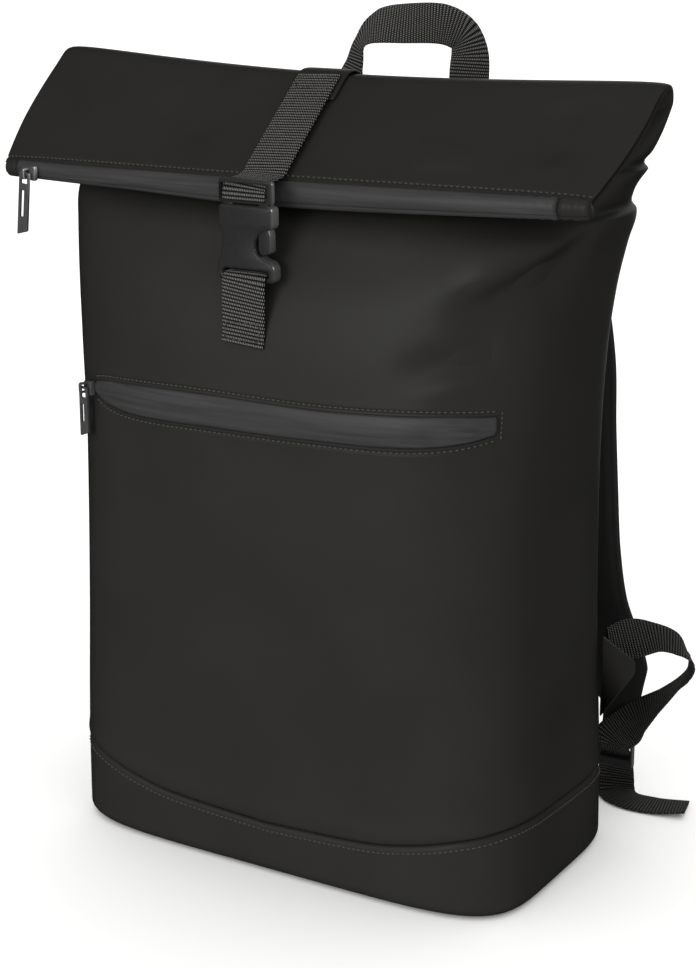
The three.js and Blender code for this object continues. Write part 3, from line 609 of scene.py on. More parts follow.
SECTIONS = tube_sections()
section = {name: smooth(SECTIONS, "s", name) for name in SECTION_COLUMNS.split()}
seam_height = smooth(SEAM, "share", "z")
pocket_low = smooth(POCKET, "column", "low")
pocket_high = smooth(POCKET, "column", "high")


def outline_reach():
    """Angles from the front middle round the right to the back, and the distance round to each one."""
    theta = np.linspace(-math.pi / 2, math.pi / 2, OUTLINE_STEPS)
    power = np.where(theta < 0, section["front_power"](DENT_LEVEL), section["back_power"](DENT_LEVEL))
    x, y = superellipse(theta, section["half"](DENT_LEVEL), section["deep"](DENT_LEVEL), power)
    return theta, lengths_along(np.stack([x, y], -1))


REACH_THETA, REACH = outline_reach()


def distance_round(theta):
    """Distance round the body from the front middle, less than none on the left."""
    c = np.cos(theta)
    right = np.arctan2(np.sin(theta), np.abs(c))
    return np.sign(c) * np.interp(right, REACH_THETA, REACH)


def dent_depth(dents, x, z):
    """Depth of dents, which fade in at the near end of their strokes and out at the far one."""
    depth = np.zeros_like(x)
    for dent in dents:
        way_x = dent["to_x"] - dent["x"]
        way_z = dent["to_z"] - dent["z"]
        part = ((x - dent["x"]) * way_x + (z - dent["z"]) * way_z) / (way_x**2 + way_z**2)
        part = np.clip(part, 0, 1)
        off = (way_x * (z - dent["z"]) - way_z * (x - dent["x"])) / math.hypot(way_x, way_z)
        away = np.hypot(x - dent["x"] - part * way_x, z - dent["z"] - part * way_z)
        leftness = 0.5 + 0.5 * off / np.maximum(away, TINY)
        away = away / (dent["right"] * (1 - leftness) + dent["left"] * leftness)
        begun = smoothstep(DENT_EARLY, dent["near"], part)
        shown = begun * (1 - smoothstep(1 - dent["fade"], DENT_LATE, part))
        depth += dent["depth"] * shown * np.exp(-away * away)
    return depth


def pleat_out(theta, s):
    """How far the sides of the neck stand out in pleats, less the fold between their layers."""
    out = np.zeros(np.broadcast(theta, s).shape)
    for pleat in PLEATS:
        away = np.arccos(np.clip(np.cos(theta) * pleat["side"], -1, 1)) / PLEAT_SPREAD
        below = pleat["s"] - s
        step = smoothstep(-PLEAT_STEP, PLEAT_STEP, below) * np.exp(-np.maximum(below, 0) / pleat["reach"])
        notch = PLEAT_NOTCH * np.exp(-((below + 2 * PLEAT_STEP) / (2 * PLEAT_STEP)) ** 2)
        out = out + pleat["out"] * (step - notch) * np.exp(-away * away)
    away = np.arcsin(np.clip(np.sin(theta), -1, 1)) / GUSSET_SPREAD
    return out - GUSSET_DEEP * smoothstep(GUSSET_FROM, GUSSET_FULL, s) * np.exp(-away * away)


def tube_place(s, across, out):
    """Place on the tube from the way along it, the distance across and the distance out of its middle."""
    sag = 1 - (across / section["half"](s)) ** 2
    y = section["y"](s) + out * np.cos(section["turn"](s)) - section["bow"](s) * sag
    level = section["z"](s) - section["dip"](s) * sag + section["lift"](s) * (1 - sag)
    z = level + out * np.sin(section["turn"](s)) + section["skew"](s) * across
    return np.stack(np.broadcast_arrays(across, y, z), -1)


def body_point(theta, s, inset=0.0):
    """Point of the tube's outside at an angle round it, from -90 degrees at the front middle."""
    theta, s, inset = np.broadcast_arrays(np.asarray(theta, float), np.asarray(s, float), inset)
    deep = section["deep"](s)
    power = np.where(np.sin(theta) < 0, section["front_power"](s), section["back_power"](s))
    half = section["half"](s)
    x, out = superellipse(theta, half - inset, deep - inset, power)
    frontness = smoothstep(0.0, DENT_CORNER, -np.sin(theta))
    frontness = frontness * (1 - smoothstep(BODY_TOP - DENT_TOP_BELOW, BODY_TOP + DENT_TOP_ABOVE, s))
    depth = dent_depth(DENTS, distance_round(theta), s) * frontness
    flapness = smoothstep(0.0, DENT_CORNER, np.sin(theta))
    flapness = flapness * smoothstep(FOLD_END, FOLD_END + FLAP_DENT_FADE, s)
    flapness = flapness * (1 - smoothstep(MOUTH - 2 * FLAP_DENT_FADE, MOUTH - FLAP_DENT_FADE, s))
    flap_depth = dent_depth(FLAP_DENTS, x, s - FOLD_END) * flapness
    face_x = np.sign(x) * np.abs(x / half) ** (power - 1) / half
    face_y = np.sign(out) * np.abs(out / deep) ** (power - 1) / deep
    depth = depth / np.maximum(np.hypot(face_x, face_y), TINY)
    x = x - face_x * depth + np.sign(x) * pleat_out(theta, s)
    wider = FLAP_LEFT_WIDER * smoothstep(FLAP_LEFT_FROM, FLAP_LEFT_FULL, section["share"](s))
    x = np.where(x < 0, x * (1 + wider), x)
    return tube_place(s, x, out - face_y * depth - flap_depth)


def share_table(z):
    """Angles round the body at a level and the share of the way round that each one lies at."""
    theta = np.linspace(-math.pi / 2, 1.5 * math.pi, ROUND_STEPS)
    along = lengths_along(body_point(theta, z))
    return theta, along / along[-1]


def theta_of_share(share, z):
    theta, shares = share_table(z)
    turns = np.floor(share)
    return np.interp(share - turns, shares, theta) + turns * 2 * math.pi


def share_of_theta(theta, z):
    thetas, shares = share_table(z)
    return np.interp((theta + math.pi / 2) % (2 * math.pi) - math.pi / 2, thetas, shares)


def body_normal(theta, z):
    step = 2e-3
    lift = 0.5
    across = body_point(theta + step, z) - body_point(theta - step, z)
    up = body_point(theta, z + lift) - body_point(theta, z - lift)
    return unit(np.cross(across, up))


def level_normal(theta, z):
    """Way that the body faces at a place, kept level."""
    return unit(body_normal(np.array(theta), np.array(z)) * [1, 1, 0])


# Materials

class Finish:
    """Material, with the name of a slot, which nothing here uses, and the ending of its pieces' names."""

    def __init__(self, name, slot=None, ending=None):
        self.material = bpy.data.materials.new(name)
        self.material.use_nodes = True
        self.tree = self.material.node_tree
        self.slot = slot
        self.ending = ending
        self.place = self.node("TexCoord").outputs["Object"]

    def put(self, node, inputs):
        """Sets a node's inputs to values, or links them to the outputs of other nodes."""
        for name, value in inputs.items():
            if isinstance(value, bpy.types.NodeSocket):
                self.tree.links.new(value, node.inputs[name])
            else:
                node.inputs[name].default_value = value

    def surface(self, inputs):
        self.put(self.tree.nodes["Principled BSDF"], inputs)

    def node(self, kind, inputs=None):
        node = self.tree.nodes.new(f"ShaderNode{kind}")
        self.put(node, inputs or {})
        return node

    def noise(self, scale, detail=3.0, stretch=None):
        """Noise over the object's own places, stretched if a scale for each axis is given."""
        place = self.place
        if stretch:
            place = self.node("Mapping", {"Scale": stretch, "Vector": place}).outputs["Vector"]
        return self.node("TexNoise", {"Scale": scale, "Detail": detail, "Vector": place}).outputs["Fac"]

    def colour(self, source, colours, start=0.3, end=0.7):
        """Colour between two colours as a source goes from start to end."""
        ramp = self.node("ValToRGB", {"Fac": source})
        for stop, position, tone in zip(ramp.color_ramp.elements, (start, end), colours):
            stop.position = position
            stop.color = (*tone, 1)
        return ramp.outputs["Color"]

    def between(self, source, low, high):
        return self.node("MapRange", {"To Min": low, "To Max": high, "Value": source}).outputs["Result"]

    def bump(self, height, distance, strength, before=None):
        """Normals for a height over the surface, or over normals that are bumped already."""
        inputs = {"Distance": distance, "Strength": strength, "Height": height}
        if before:
            inputs["Normal"] = before
        return self.node("Bump", inputs).outputs["Normal"]

    def maths(self, operation, *values):
        node = self.node("Math", dict(enumerate(values)))
        node.operation = operation
        return node.outputs["Value"]


def coated_cloth(slot, ending, colours, roughness, grain):
    """Matte coated cloth with a fine grain and faint cloudiness."""
    cloth = Finish(slot, slot, ending)
    cloud = cloth.noise(scale=14.0, detail=4.0)
    broad = cloth.bump(cloth.noise(scale=38.0, detail=2.0), distance=0.0004, strength=0.35)
    spread = 0.05
    cloth.surface({
        "Base Color": cloth.colour(cloud, colours),
        "Roughness": cloth.between(cloud, roughness - spread, roughness + spread),
        "Normal": cloth.bump(cloth.noise(scale=900.0, detail=2.0), grain, strength=0.6, before=broad),
        "Specular IOR Level": 0.22,
    })
    return cloth


def zip_tape():
    """Satin coated zip tape, with faint streaks along it."""
    tape = Finish("zip_tape", "zip_tape", "tape")
    streak = tape.noise(scale=60.0, stretch=(0.3, 2.0, 8.0))
    tape.surface({
        "Base Color": tape.colour(streak, TAPE_COLOURS),
        "Roughness": tape.between(streak, low=0.42, high=0.54),
        "Normal": tape.bump(tape.noise(scale=1100.0, detail=2.0), distance=0.00004, strength=0.5),
        "Specular IOR Level": 0.35,
    })
    return tape


def webbing(name, colours):
    """Ribbed webbing, with a highlight painted on the yarns on top of each rib and shade painted between the
    ribs.
    """
    web = Finish(name, "webbing", "band")
    uv = web.node("UVMap")
    uv.uv_map = "cloth"
    split = web.node("SeparateXYZ", {"Vector": uv.outputs["UV"]}).outputs
    along = web.maths("MULTIPLY", split["Y"], math.pi / RIB_PITCH)
    ridge = web.maths("ABSOLUTE", web.maths("SINE", along))
    rib = web.maths("FLOOR", web.maths("DIVIDE", split["Y"], RIB_PITCH))
    yarn = web.maths("MULTIPLY", split["X"], 2 * math.pi / YARN_PITCH)
    shifted = web.maths("ADD", yarn, web.maths("MULTIPLY", rib, math.pi))
    yarn_height = web.maths("MULTIPLY_ADD", web.maths("SINE", shifted), YARN_SWING, 1 - YARN_SWING)
    weave_height_and_shade = web.maths("MULTIPLY", ridge, yarn_height)
    fuzz = web.between(web.noise(scale=1500.0, detail=2.0), low=0.55, high=1.35)
    web.surface({
        # Colour follows the weave's height: a painted highlight on the rib tops and painted shade between the
        # ribs
        "Base Color": web.colour(web.maths("MULTIPLY", weave_height_and_shade, fuzz), colours, start=0.25, end=0.95),
        "Normal": web.bump(weave_height_and_shade, distance=0.0003, strength=0.9),
        "Roughness": 0.72,
        "Specular IOR Level": 0.25,
    })
    return web


def moulded_plastic():
    plastic = Finish("buckle_plastic", "buckle_plastic", "part")
    grain = plastic.noise(scale=1300.0, detail=2.0)
    plastic.surface({
        "Base Color": plastic.colour(grain, PLASTIC_COLOURS),
        "Roughness": plastic.between(plastic.noise(scale=90.0), low=0.26, high=0.4),
        "Normal": plastic.bump(grain, distance=0.00003, strength=0.5),
        "Specular IOR Level": 0.3,
    })
    return plastic


def gunmetal():
    metal = Finish("zip_metal", "zip_metal", "part")
    brush = metal.noise(scale=700.0, stretch=(3.0, 3.0, 0.3))
    metal.surface({
        "Base Color": metal.colour(brush, METAL_COLOURS),
        "Roughness": metal.between(brush, low=0.26, high=0.4),
        "Normal": metal.bump(brush, distance=0.00003, strength=0.4),
        "Metallic": 0.4,
    })
    return metal


def sewing_thread():
    thread = Finish("thread", "webbing")
    ply = thread.noise(scale=2500.0, detail=2.0)
    thread.surface({
        "Base Color": thread.colour(ply, THREAD_COLOURS),
        "Normal": thread.bump(ply, distance=0.0001, strength=0.6),
        "Roughness": 0.7,
        "Specular IOR Level": 0.3,
    })
    return thread


def floor_white():
    white = Finish("floor_white")
    white.surface({
        "Base Color": white.colour(white.noise(scale=0.7), FLOOR_COLOURS),
        "Roughness": 0.9,
        "Specular IOR Level": 0.1,
        "Emission Color": (1, 1, 1, 1),
        "Emission Strength": FLOOR_GLOW,
    })
    return white


COATED = coated_cloth("coated_cloth", "cloth", COATED_COLOURS, roughness=0.48, grain=0.00006)
STRAP_CLOTH = coated_cloth("strap_cloth", "pad", STRAP_COLOURS, roughness=0.65, grain=0.0001)
ZIP_TAPE = zip_tape()
WEBBING = webbing("webbing", WEB_SHADE_AND_HIGHLIGHT_COLOURS)
STRAP_WEBBING = webbing("strap_webbing", STRAP_WEB_SHADE_AND_HIGHLIGHT_COLOURS)
PLASTIC = moulded_plastic()
METAL = gunmetal()
THREAD = sewing_thread()


# Meshes and pieces

def face_out(mesh, merge=None):
    """Turns faces outwards, after points that lie within a distance are merged."""
    work = bmesh.new()
    work.from_mesh(mesh)
    if merge:
        bmesh.ops.remove_doubles(work, verts=work.verts, dist=merge)
    bmesh.ops.recalc_face_normals(work, faces=work.faces)
    work.to_mesh(mesh)
    work.free()


def mesh_of(points, faces):
    mesh = bpy.data.meshes.new("mesh")
    mesh.from_pydata((points.reshape(-1, 3) * MM).tolist(), [], faces)
    return mesh


def grid_mesh(rows, ring=False, caps=False, uv=None):
    """Mesh through closed rows of points; the rows form a ring, or their ends may get caps."""
    count, wide = rows.shape[:2]
    joins = count if ring else count - 1
    i, j = np.meshgrid(np.arange(joins), np.arange(wide), indexing="ij")
    i_next = (i + 1) % count
    j_next = (j + 1) % wide
    quads = np.stack([i * wide + j, i * wide + j_next, i_next * wide + j_next, i_next * wide + j], -1)
    faces = quads.reshape(-1, 4).tolist()
    if caps:
        faces.append(list(range(wide))[::-1])
        faces.append(list(range((count - 1) * wide, count * wide)))
    mesh = mesh_of(rows, faces)
    if uv is not None:
        corners = [uv[i, j], uv[i, j + 1], uv[i + 1, j + 1], uv[i + 1, j]]
        flat = np.stack(corners, 2).reshape(-1, 2)
        spare = len(mesh.loops) - len(flat)
        flat = np.vstack([flat, np.zeros((spare, 2))])
        layer = mesh.uv_layers.new(name="cloth")
        layer.data.foreach_set("uv", flat.astype(np.float32).ravel())
    face_out(mesh)
    return mesh


def show(name, mesh, finish):
    """Object with a smooth mesh."""
    mesh.name = name
    mesh.materials.append(finish.material)
    mesh.polygons.foreach_set("use_smooth", np.ones(len(mesh.polygons), bool))
    obj = bpy.data.objects.new(name, mesh)
    bpy.context.scene.collection.objects.link(obj)
    return obj


def add_piece(name, mesh, finish, body=BAG):
    """Piece that rides on a body."""
    obj = show(name, mesh, finish)
    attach(obj, body)
    return obj


def dress(node, mesh, finish, body=BAG):
    """Piece that stands for a solid."""
    obj = add_piece(f"{node}_{finish.ending}", mesh, finish, body)
    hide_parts(node)
    return obj


def stitch_row(line, normals, pitch=STITCH_PITCH, long=STITCH_LONG):
    """Points of stitches at equal steps along a line that lies on a surface."""
    along = lengths_along(line)
    total = max(int(along[-1] / pitch), 1)
    at = (np.arange(total) + 0.5) * along[-1] / total
    centre = resample(line, at, along)
    normal = unit(resample(normals, at, along))
    way = unit(resample(line, at + STITCH_LOOK, along) - resample(line, at - STITCH_LOOK, along))
    side = np.cross(normal, way)
    share = np.repeat(np.linspace(-1, 1, STITCH_RINGS), STITCH_SIDES)
    turn = np.tile(np.arange(STITCH_SIDES) / STITCH_SIDES * 2 * math.pi, STITCH_RINGS)
    girth = STITCH_RADIUS * np.sqrt(np.maximum(1 - (STITCH_TAPER * share) ** 2, 0))
    height = STITCH_RADIUS * STITCH_RISE - STITCH_RADIUS * share**2
    local_x = (share * long / 2)[None, :, None]
    local_y = (girth * np.cos(turn))[None, :, None]
    local_z = (height + girth * np.sin(turn))[None, :, None]
    return centre[:, None] + way[:, None] * local_x + side[:, None] * local_y + normal[:, None] * local_z


def sew(name, rows):
    """Piece made of rows of stitches."""
    stitches = np.concatenate(rows)
    each = STITCH_RINGS * STITCH_SIDES
    shape = []
    for start in range(0, each - STITCH_SIDES, STITCH_SIDES):
        for k in range(STITCH_SIDES):
            a = start + k
            b = start + (k + 1) % STITCH_SIDES
            shape.append([a, b, b + STITCH_SIDES, a + STITCH_SIDES])
    shape.append(list(range(STITCH_SIDES))[::-1])
    shape.append(list(range(each - STITCH_SIDES, each)))
    faces = [[n * each + v for v in face] for n in range(len(stitches)) for face in shape]
    mesh = mesh_of(stitches, faces)
    face_out(mesh)
    add_piece(name, mesh, THREAD)


def channel(away):
    """How deep the cloth is drawn in by a row of stitches, by distance from the row."""
    return CHANNEL_DEEP * np.exp(-((away / CHANNEL_WIDE) ** 2))


# Camera, floor and light

def back_vector(azimuth, elevation):
    a = math.radians(azimuth)
    e = math.radians(elevation)
    return Vector((math.sin(a) * math.cos(e), -math.cos(a) * math.cos(e), math.sin(e)))


def aim(obj, back):
    """Turns a camera or light to look against a vector, and adds it to the scene."""
    obj.rotation_mode = "QUATERNION"
    obj.rotation_quaternion = (-back).to_track_quat("-Z", "Y")
    bpy.context.scene.collection.objects.link(obj)


def make_camera():
    data = bpy.data.cameras.new("camera")
    data.sensor_width = SENSOR_MM
    data.lens = SENSOR_MM * FOCAL_PX / PHOTO_HIGH_PX
    camera = bpy.data.objects.new("camera", data)
    back = back_vector(VIEW_AZIMUTH, VIEW_ELEVATION)
    camera.location = (Vector(VIEW_TARGET) + back * VIEW_DISTANCE) * MM
    aim(camera, back)
    bpy.context.scene.camera = camera


def sun_light(name, light, lit=None):
    """Soft light from far away, on everything or on some objects alone."""
    data = bpy.data.lights.new(name, "SUN")
    data.angle = math.radians(light["angle"])
    data.energy = light["strength"]
    lamp = bpy.data.objects.new(name, data)
    lamp.location = back_vector(light["azimuth"], light["elevation"])
    aim(lamp, lamp.location)
    if lit:
        receivers = bpy.data.collections.new(f"{name}_receivers")
        for obj in lit:
            receivers.objects.link(obj)
        lamp.light_linking.receiver_collection = receivers


def make_stage():
    turn = np.linspace(0, math.pi / 2, COVE_STEPS)
    radius = np.concatenate([[COVE_MIDDLE], COVE_REACH + COVE_BEND * np.sin(turn)])[:, None]
    height = np.concatenate([[0.0], COVE_BEND * (1 - np.cos(turn))])[:, None]
    around = np.arange(COVE_AROUND) / COVE_AROUND * 2 * math.pi
    rows = np.stack(np.broadcast_arrays(radius * np.cos(around), radius * np.sin(around), height), -1)
    floor = show("floor", grid_mesh(rows / MM), floor_white())
    floor.visible_diffuse = False
    floor.visible_glossy = False
    floor.visible_shadow = False
    world = bpy.data.worlds.new("studio")
    world.use_nodes = True
    world.node_tree.nodes["Background"].inputs["Color"].default_value = WORLD_COLOUR
    world.node_tree.nodes["Background"].inputs["Strength"].default_value = WORLD_STRENGTH
    bpy.context.scene.world = world
    world.cycles_visibility.glossy = False
    sun_light("key", KEY_LIGHT)
    sun_light("back_light", BACK_LIGHT)
    sun_light("floor_light", FLOOR_LIGHT, [floor])
    bpy.context.scene.view_settings.view_transform = "Standard"


# Body and base

BODY_THETA = theta_of_share(np.arange(BODY_COLUMNS) / BODY_COLUMNS, COLUMN_LEVEL)
SEAM_SHARE = share_of_theta(BODY_THETA, SEAM_LEVEL)
BODY_SEAM = seam_height(np.minimum(SEAM_SHARE, 1 - SEAM_SHARE))
POCKET_SHARE = share_of_theta(BODY_THETA, POCKET_LEVEL)
POCKET_COLUMN = np.where(POCKET_SHARE > 0.5, POCKET_SHARE - 1, POCKET_SHARE) * CAD_COLUMNS


def rim_inset(height):
    """How far a panel is tucked in at its sewn rim, by height from the seam; just off it, it puffs out."""
    tuck = RIM_TUCK * np.exp(-height / RIM_REACH)
    return tuck - RIM_PUFF * np.exp(-(((height - RIM_PUFF_AT) / RIM_PUFF_WIDE) ** 2))


def pocket_lift(nominal):
    """How far a row of the body stands out at the pocket's lips, or is sunk behind its zip."""
    if LOW_NOMINAL < nominal < HIGH_NOMINAL:
        return -POCKET_SUNK
    away = max(LOW_NOMINAL - nominal, nominal - HIGH_NOMINAL)
    if away >= LIP_END:
        return 0.0
    return LIP_HIGH * np.exp(-away / LIP_WIDE) - channel(away - POCKET_STITCH_OFF)


def pocket_mask():
    """Share of the pocket's relief that shows, by column of the body."""
    left = POCKET[0]["column"]
    right = POCKET[-1]["column"]
    begun = smoothstep(left - POCKET_LEFT_FADE, left + POCKET_LEFT_FADE, POCKET_COLUMN)
    return begun * (1 - smoothstep(right - POCKET_RIGHT_FADE, right + POCKET_RIGHT_FADE, POCKET_COLUMN))


def warp_level(nominal):
    """Heights of one row of the body, bent so that the rows follow the pocket's edges."""
    low = pocket_low(POCKET_COLUMN)
    high = pocket_high(POCKET_COLUMN)
    if nominal <= WARP_BOTTOM or nominal >= WARP_TOP:
        return np.full_like(low, nominal)
    stops = np.stack([np.full_like(low, WARP_BOTTOM), low, high, np.full_like(low, WARP_TOP)])
    nominal_stops = [WARP_BOTTOM, LOW_NOMINAL, HIGH_NOMINAL, WARP_TOP]
    k = int(np.searchsorted(nominal_stops, nominal, side="right")) - 1
    part = (nominal - nominal_stops[k]) / (nominal_stops[k + 1] - nominal_stops[k])
    return stops[k] * (1 - part) + stops[k + 1] * part


def make_body():
    mask = pocket_mask()
    rows = []
    for height in SEAM_ROW_HEIGHTS:
        z = BODY_SEAM + GAP + height * (SEAM_ROWS_TOP - BODY_SEAM) / (SEAM_ROWS_TOP - SEAM_LEVEL)
        rows.append(body_point(BODY_THETA, z, rim_inset(height)))
    for nominal in BODY_LEVELS:
        rows.append(body_point(BODY_THETA, warp_level(nominal), -pocket_lift(nominal) * mask))
    for z in INNER_LEVELS:
        rows.append(body_point(BODY_THETA, z, CLOTH))
    for height in (INNER_RIM, 0):
        rows.append(body_point(BODY_THETA, BODY_SEAM + GAP + height, CLOTH + INNER_TUCK))
    dress("body_shell", grid_mesh(np.stack(rows), ring=True), COATED)


def make_base():
    rim = BASE_RIM_DEPTHS[0]
    rows = [body_point(BODY_THETA, 0.0, inset) for inset in np.linspace(BASE_INSET, BASE_FILLET, BASE_RINGS)]
    for turn in np.linspace(0, math.pi / 2, BASE_FILLET_STEPS)[1:]:
        z = BASE_FILLET * (1 - math.cos(turn))
        rows.append(body_point(BODY_THETA, z, BASE_FILLET * (1 - math.sin(turn))))
    for part in np.linspace(0, 1, BASE_WALL_STEPS)[1:-1]:
        rows.append(body_point(BODY_THETA, BASE_FILLET + (BODY_SEAM - rim - BASE_FILLET) * part))
    for depth in BASE_RIM_DEPTHS:
        rows.append(body_point(BODY_THETA, BODY_SEAM - depth, rim_inset(depth) + RIM_PUFF))
    for depth in (0, rim):
        rows.append(body_point(BODY_THETA, BODY_SEAM - depth, CLOTH + BASE_RIM_TUCK))
    for z, inset in ((BASE_FILLET + CLOTH, CLOTH), (CLOTH, BASE_FILLET), (CLOTH, BASE_INSET)):
        rows.append(body_point(BODY_THETA, z, inset))
    dress("base_panel", grid_mesh(np.stack(rows), caps=True), COATED)
    closed = np.arange(BODY_COLUMNS + 1) % BODY_COLUMNS
    z = BODY_SEAM - BASE_STITCH_DOWN
    line = body_point(BODY_THETA, z, rim_inset(BASE_STITCH_DOWN) + RIM_PUFF)
    sew("base_stitches", [stitch_row(line[closed], body_normal(BODY_THETA, z)[closed])])


# Roll top

def make_roll_top():
    rows = [body_point(BODY_THETA, s, channel(s - FLAP_STITCHED)) for s in ROLL_LEVELS]
    rows += [body_point(BODY_THETA, s, CLOTH) for s in np.linspace(MOUTH, BODY_TOP, ROLL_INNER_ROWS)]
    dress("roll_top", grid_mesh(np.stack(rows), ring=True), COATED)
    theta = np.linspace(FLAP_STITCH_FROM, math.pi - FLAP_STITCH_FROM, FLAP_STITCH_STEPS)
    line = body_point(theta, FLAP_STITCHED, CHANNEL_DEEP * CHANNEL_SEAT)
    sew("flap_stitches", [stitch_row(line, body_normal(theta, FLAP_STITCHED))])


# Zips

def zip_profile():
    """Closed rounded section of the top zip's band, with a groove low down where its second tape starts."""
    corners = np.array(ZIP_SECTION, float)
    looped = np.vstack([corners[-1], corners, corners[0], corners[1]])
    dense = curve_through(looped, ZIP_CURVE_STEPS)[ZIP_CURVE_STEPS:-ZIP_CURVE_STEPS]
    along = lengths_along(dense)
    points = resample(dense, np.arange(ZIP_AROUND) / ZIP_AROUND * along[-1], along)
    away = np.linalg.norm(points - np.array(ZIP_GROOVE), axis=1)
    groove = ZIP_GROOVE_DEEP * np.exp(-((away / ZIP_GROOVE_WIDE) ** 2))
    return points + unit(corners.mean(0) - points) * groove[:, None]


def zip_rows(start, end, scale):
    """Rows of the band across the mouth; towards its ends it shows less of its height."""
    across = np.linspace(start, end, len(scale))
    middle = tube_place(MOUTH, across, 0.0)
    profile = zip_profile()
    centre = profile.mean(0)
    tall = smooth(ZIP_TALL, "x", "tall")(across)
    wrinkle = ZIP_WRINKLE * np.sin(2 * math.pi * across / ZIP_WRINKLE_LONG)
    swell = scale + wrinkle * smoothstep(ZIP_WRINKLE_FROM, ZIP_RIGHT, across)
    shaped = centre + (profile - centre) * swell[:, None, None]
    y = middle[:, None, 1] + shaped[:, :, 0]
    z = middle[:, None, 2] + (ZIP_TOP + (shaped[:, :, 1] - ZIP_TOP) * tall[:, None])
    return np.stack(np.broadcast_arrays(across[:, None], y, z), -1)


def make_top_zip():
    dress("top_zip", grid_mesh(zip_rows(ZIP_LEFT, ZIP_RIGHT, np.ones(ZIP_STEPS)), caps=True), ZIP_TAPE)
    part = np.linspace(0, 1, ZIP_TAB_STEPS)
    scale = ZIP_TAB_SWELL * (1 - np.abs(2 * part - 1) ** ZIP_TAB_POWER * ZIP_TAB_TAPER)
    for name, start, end in (("left", -ZIP_TAB_END, ZIP_LEFT - GAP), ("right", ZIP_RIGHT + GAP, ZIP_TAB_END)):
        dress(f"zip_end_{name}", grid_mesh(zip_rows(start, end, scale), caps=True), COATED)


def make_pocket_zip():
    columns = np.linspace(POCKET[0]["column"], POCKET[-1]["column"], POCKET_STEPS)
    theta = theta_of_share(columns / CAD_COLUMNS, POCKET_LEVEL)
    low = pocket_low(columns)[:, None] - POCKET_UNDER
    high = pocket_high(columns)[:, None] + POCKET_UNDER
    across = (1 - np.cos(np.linspace(0, math.pi, POCKET_ACROSS))) / 2
    from_edge = (high - low) * np.minimum(across, 1 - across)
    groove = POCKET_GROOVE * np.exp(-((from_edge / POCKET_GROOVE_WIDE) ** 2))
    crown = POCKET_CROWN * (1 - (2 * across - 1) ** 2) - POCKET_EDGE - groove
    z = low + (high - low) * across
    top = body_point(theta[:, None], z, -crown)
    under = body_point(theta[:, None], z, POCKET_SUNK - POCKET_SEAT)
    dress("pocket_zip", grid_mesh(np.concatenate([top, under[:, ::-1]], 1), caps=True), ZIP_TAPE)
    rows = []
    for z in (pocket_high(columns) + POCKET_STITCH_OFF, pocket_low(columns) - POCKET_STITCH_OFF):
        line = body_point(theta, z, CHANNEL_DEEP * CHANNEL_SEAT - LIP_HIGH * LIP_SEAT)
        rows.append(stitch_row(line, body_normal(theta, z)))
    end = POCKET_END_STITCHES
    last = POCKET[-1]
    z = np.linspace(last["low"] - POCKET_STITCH_OFF, last["high"] + POCKET_STITCH_OFF, end["steps"])
    theta = theta_of_share((last["column"] + end["column"]) / CAD_COLUMNS, POCKET_LEVEL)
    line = body_point(theta, z, -end["out"])
    rows.append(stitch_row(line, body_normal(theta, z), end["pitch"], end["long"]))
    sew("pocket_stitches", rows)


# Ribbons

def ribbon_rows(places, sides, wide, thick, ribbed, pitch):
    """Rows round a band at equal steps along a smooth line, and its flat coordinates."""
    dense = curve_through(places)
    along = lengths_along(dense)
    step = pitch / RIB_ROWS if ribbed else STRIP_ROW
    at = np.linspace(0, along[-1], max(int(along[-1] / step), RIBBON_LEAST_ROWS) + 1)
    line = resample(dense, at, along)
    side = resample(curve_through(sides), at, along)
    way = unit(np.gradient(line, axis=0))
    side = unit(side - way * np.sum(side * way, -1, keepdims=True))
    face = np.cross(way, side)
    u = np.sin(np.linspace(-math.pi / 2, math.pi / 2, WEB_ACROSS))
    half_thick = thick / 2 * np.sqrt(1 - np.abs(u) ** WEB_EDGE_POWER)
    rib = RIB_HIGH * (np.abs(np.sin(math.pi * at / pitch)) - 1) * ribbed
    top = half_thick[None] + rib[:, None] * (1 - np.abs(u) ** RIB_FADE_POWER)[None]
    local_u = np.concatenate([u, u[-2:0:-1]]) * wide / 2
    local_h = np.concatenate([top, -top[:, -2:0:-1]], 1)
    rows = line[:, None] + side[:, None] * local_u[None, :, None] + face[:, None] * local_h[:, :, None]
    uv = np.empty((len(at), len(local_u) + 1, 2))
    uv[:, :, 0] = np.append(local_u, local_u[0])[None]
    uv[:, :, 1] = at[:, None] * RIB_PITCH / pitch
    return rows, uv


def make_ribbon(node, places, sides, wide, thick, finish, ribbed=True, pitch=RIB_PITCH):
    rows, uv = ribbon_rows(places, sides, wide, thick, ribbed, pitch)
    dress(node, grid_mesh(rows, caps=True, uv=uv), finish)


def across_sides(places):
    return np.tile([1.0, 0.0, 0.0], (len(places), 1))


def raised_line(start, end, height, stops):
    """Places on the closure's line over the tube's back and flap, raised by a height."""
    s = np.linspace(start, end, stops)
    lean = CLOSURE_LEAN * (1 - section["share"](s))
    line = tube_place(s, lean, section["deep"](s))
    way = unit(np.gradient(line, axis=0) * [0, 1, 1])
    return line + np.stack([np.zeros(stops), way[:, 2], -way[:, 1]], -1) * height


def buckle_line(rows):
    return np.array([[row["x"], BUCKLE_BACK - row["out"], row["z"]] for row in rows], float)


def box_stitches(places):
    """Rows of stitches round the sewn end of a webbing, at the start of its line."""
    dense = curve_through(places)
    at = np.linspace(BOX_STITCH_START, BOX_STITCH_START + BOX_STITCH_LONG, BOX_STITCH_STEPS)
    line = resample(dense, at, lengths_along(dense))
    way = unit(np.gradient(line, axis=0))
    out = unit(np.stack([np.zeros(len(at)), -np.abs(way[:, 2]), np.abs(way[:, 1])], -1))
    line = line + out * WEB / 2
    across = np.array([BOX_STITCH_HALF, 0, 0])
    part = np.linspace(-1, 1, BOX_STITCH_STEPS)[:, None]
    rows = [stitch_row(line + sign * across, out) for sign in (-1, 1)]
    rows += [stitch_row(line[end] + part * across, np.tile(out[end], (len(part), 1))) for end in (0, -1)]
    return rows


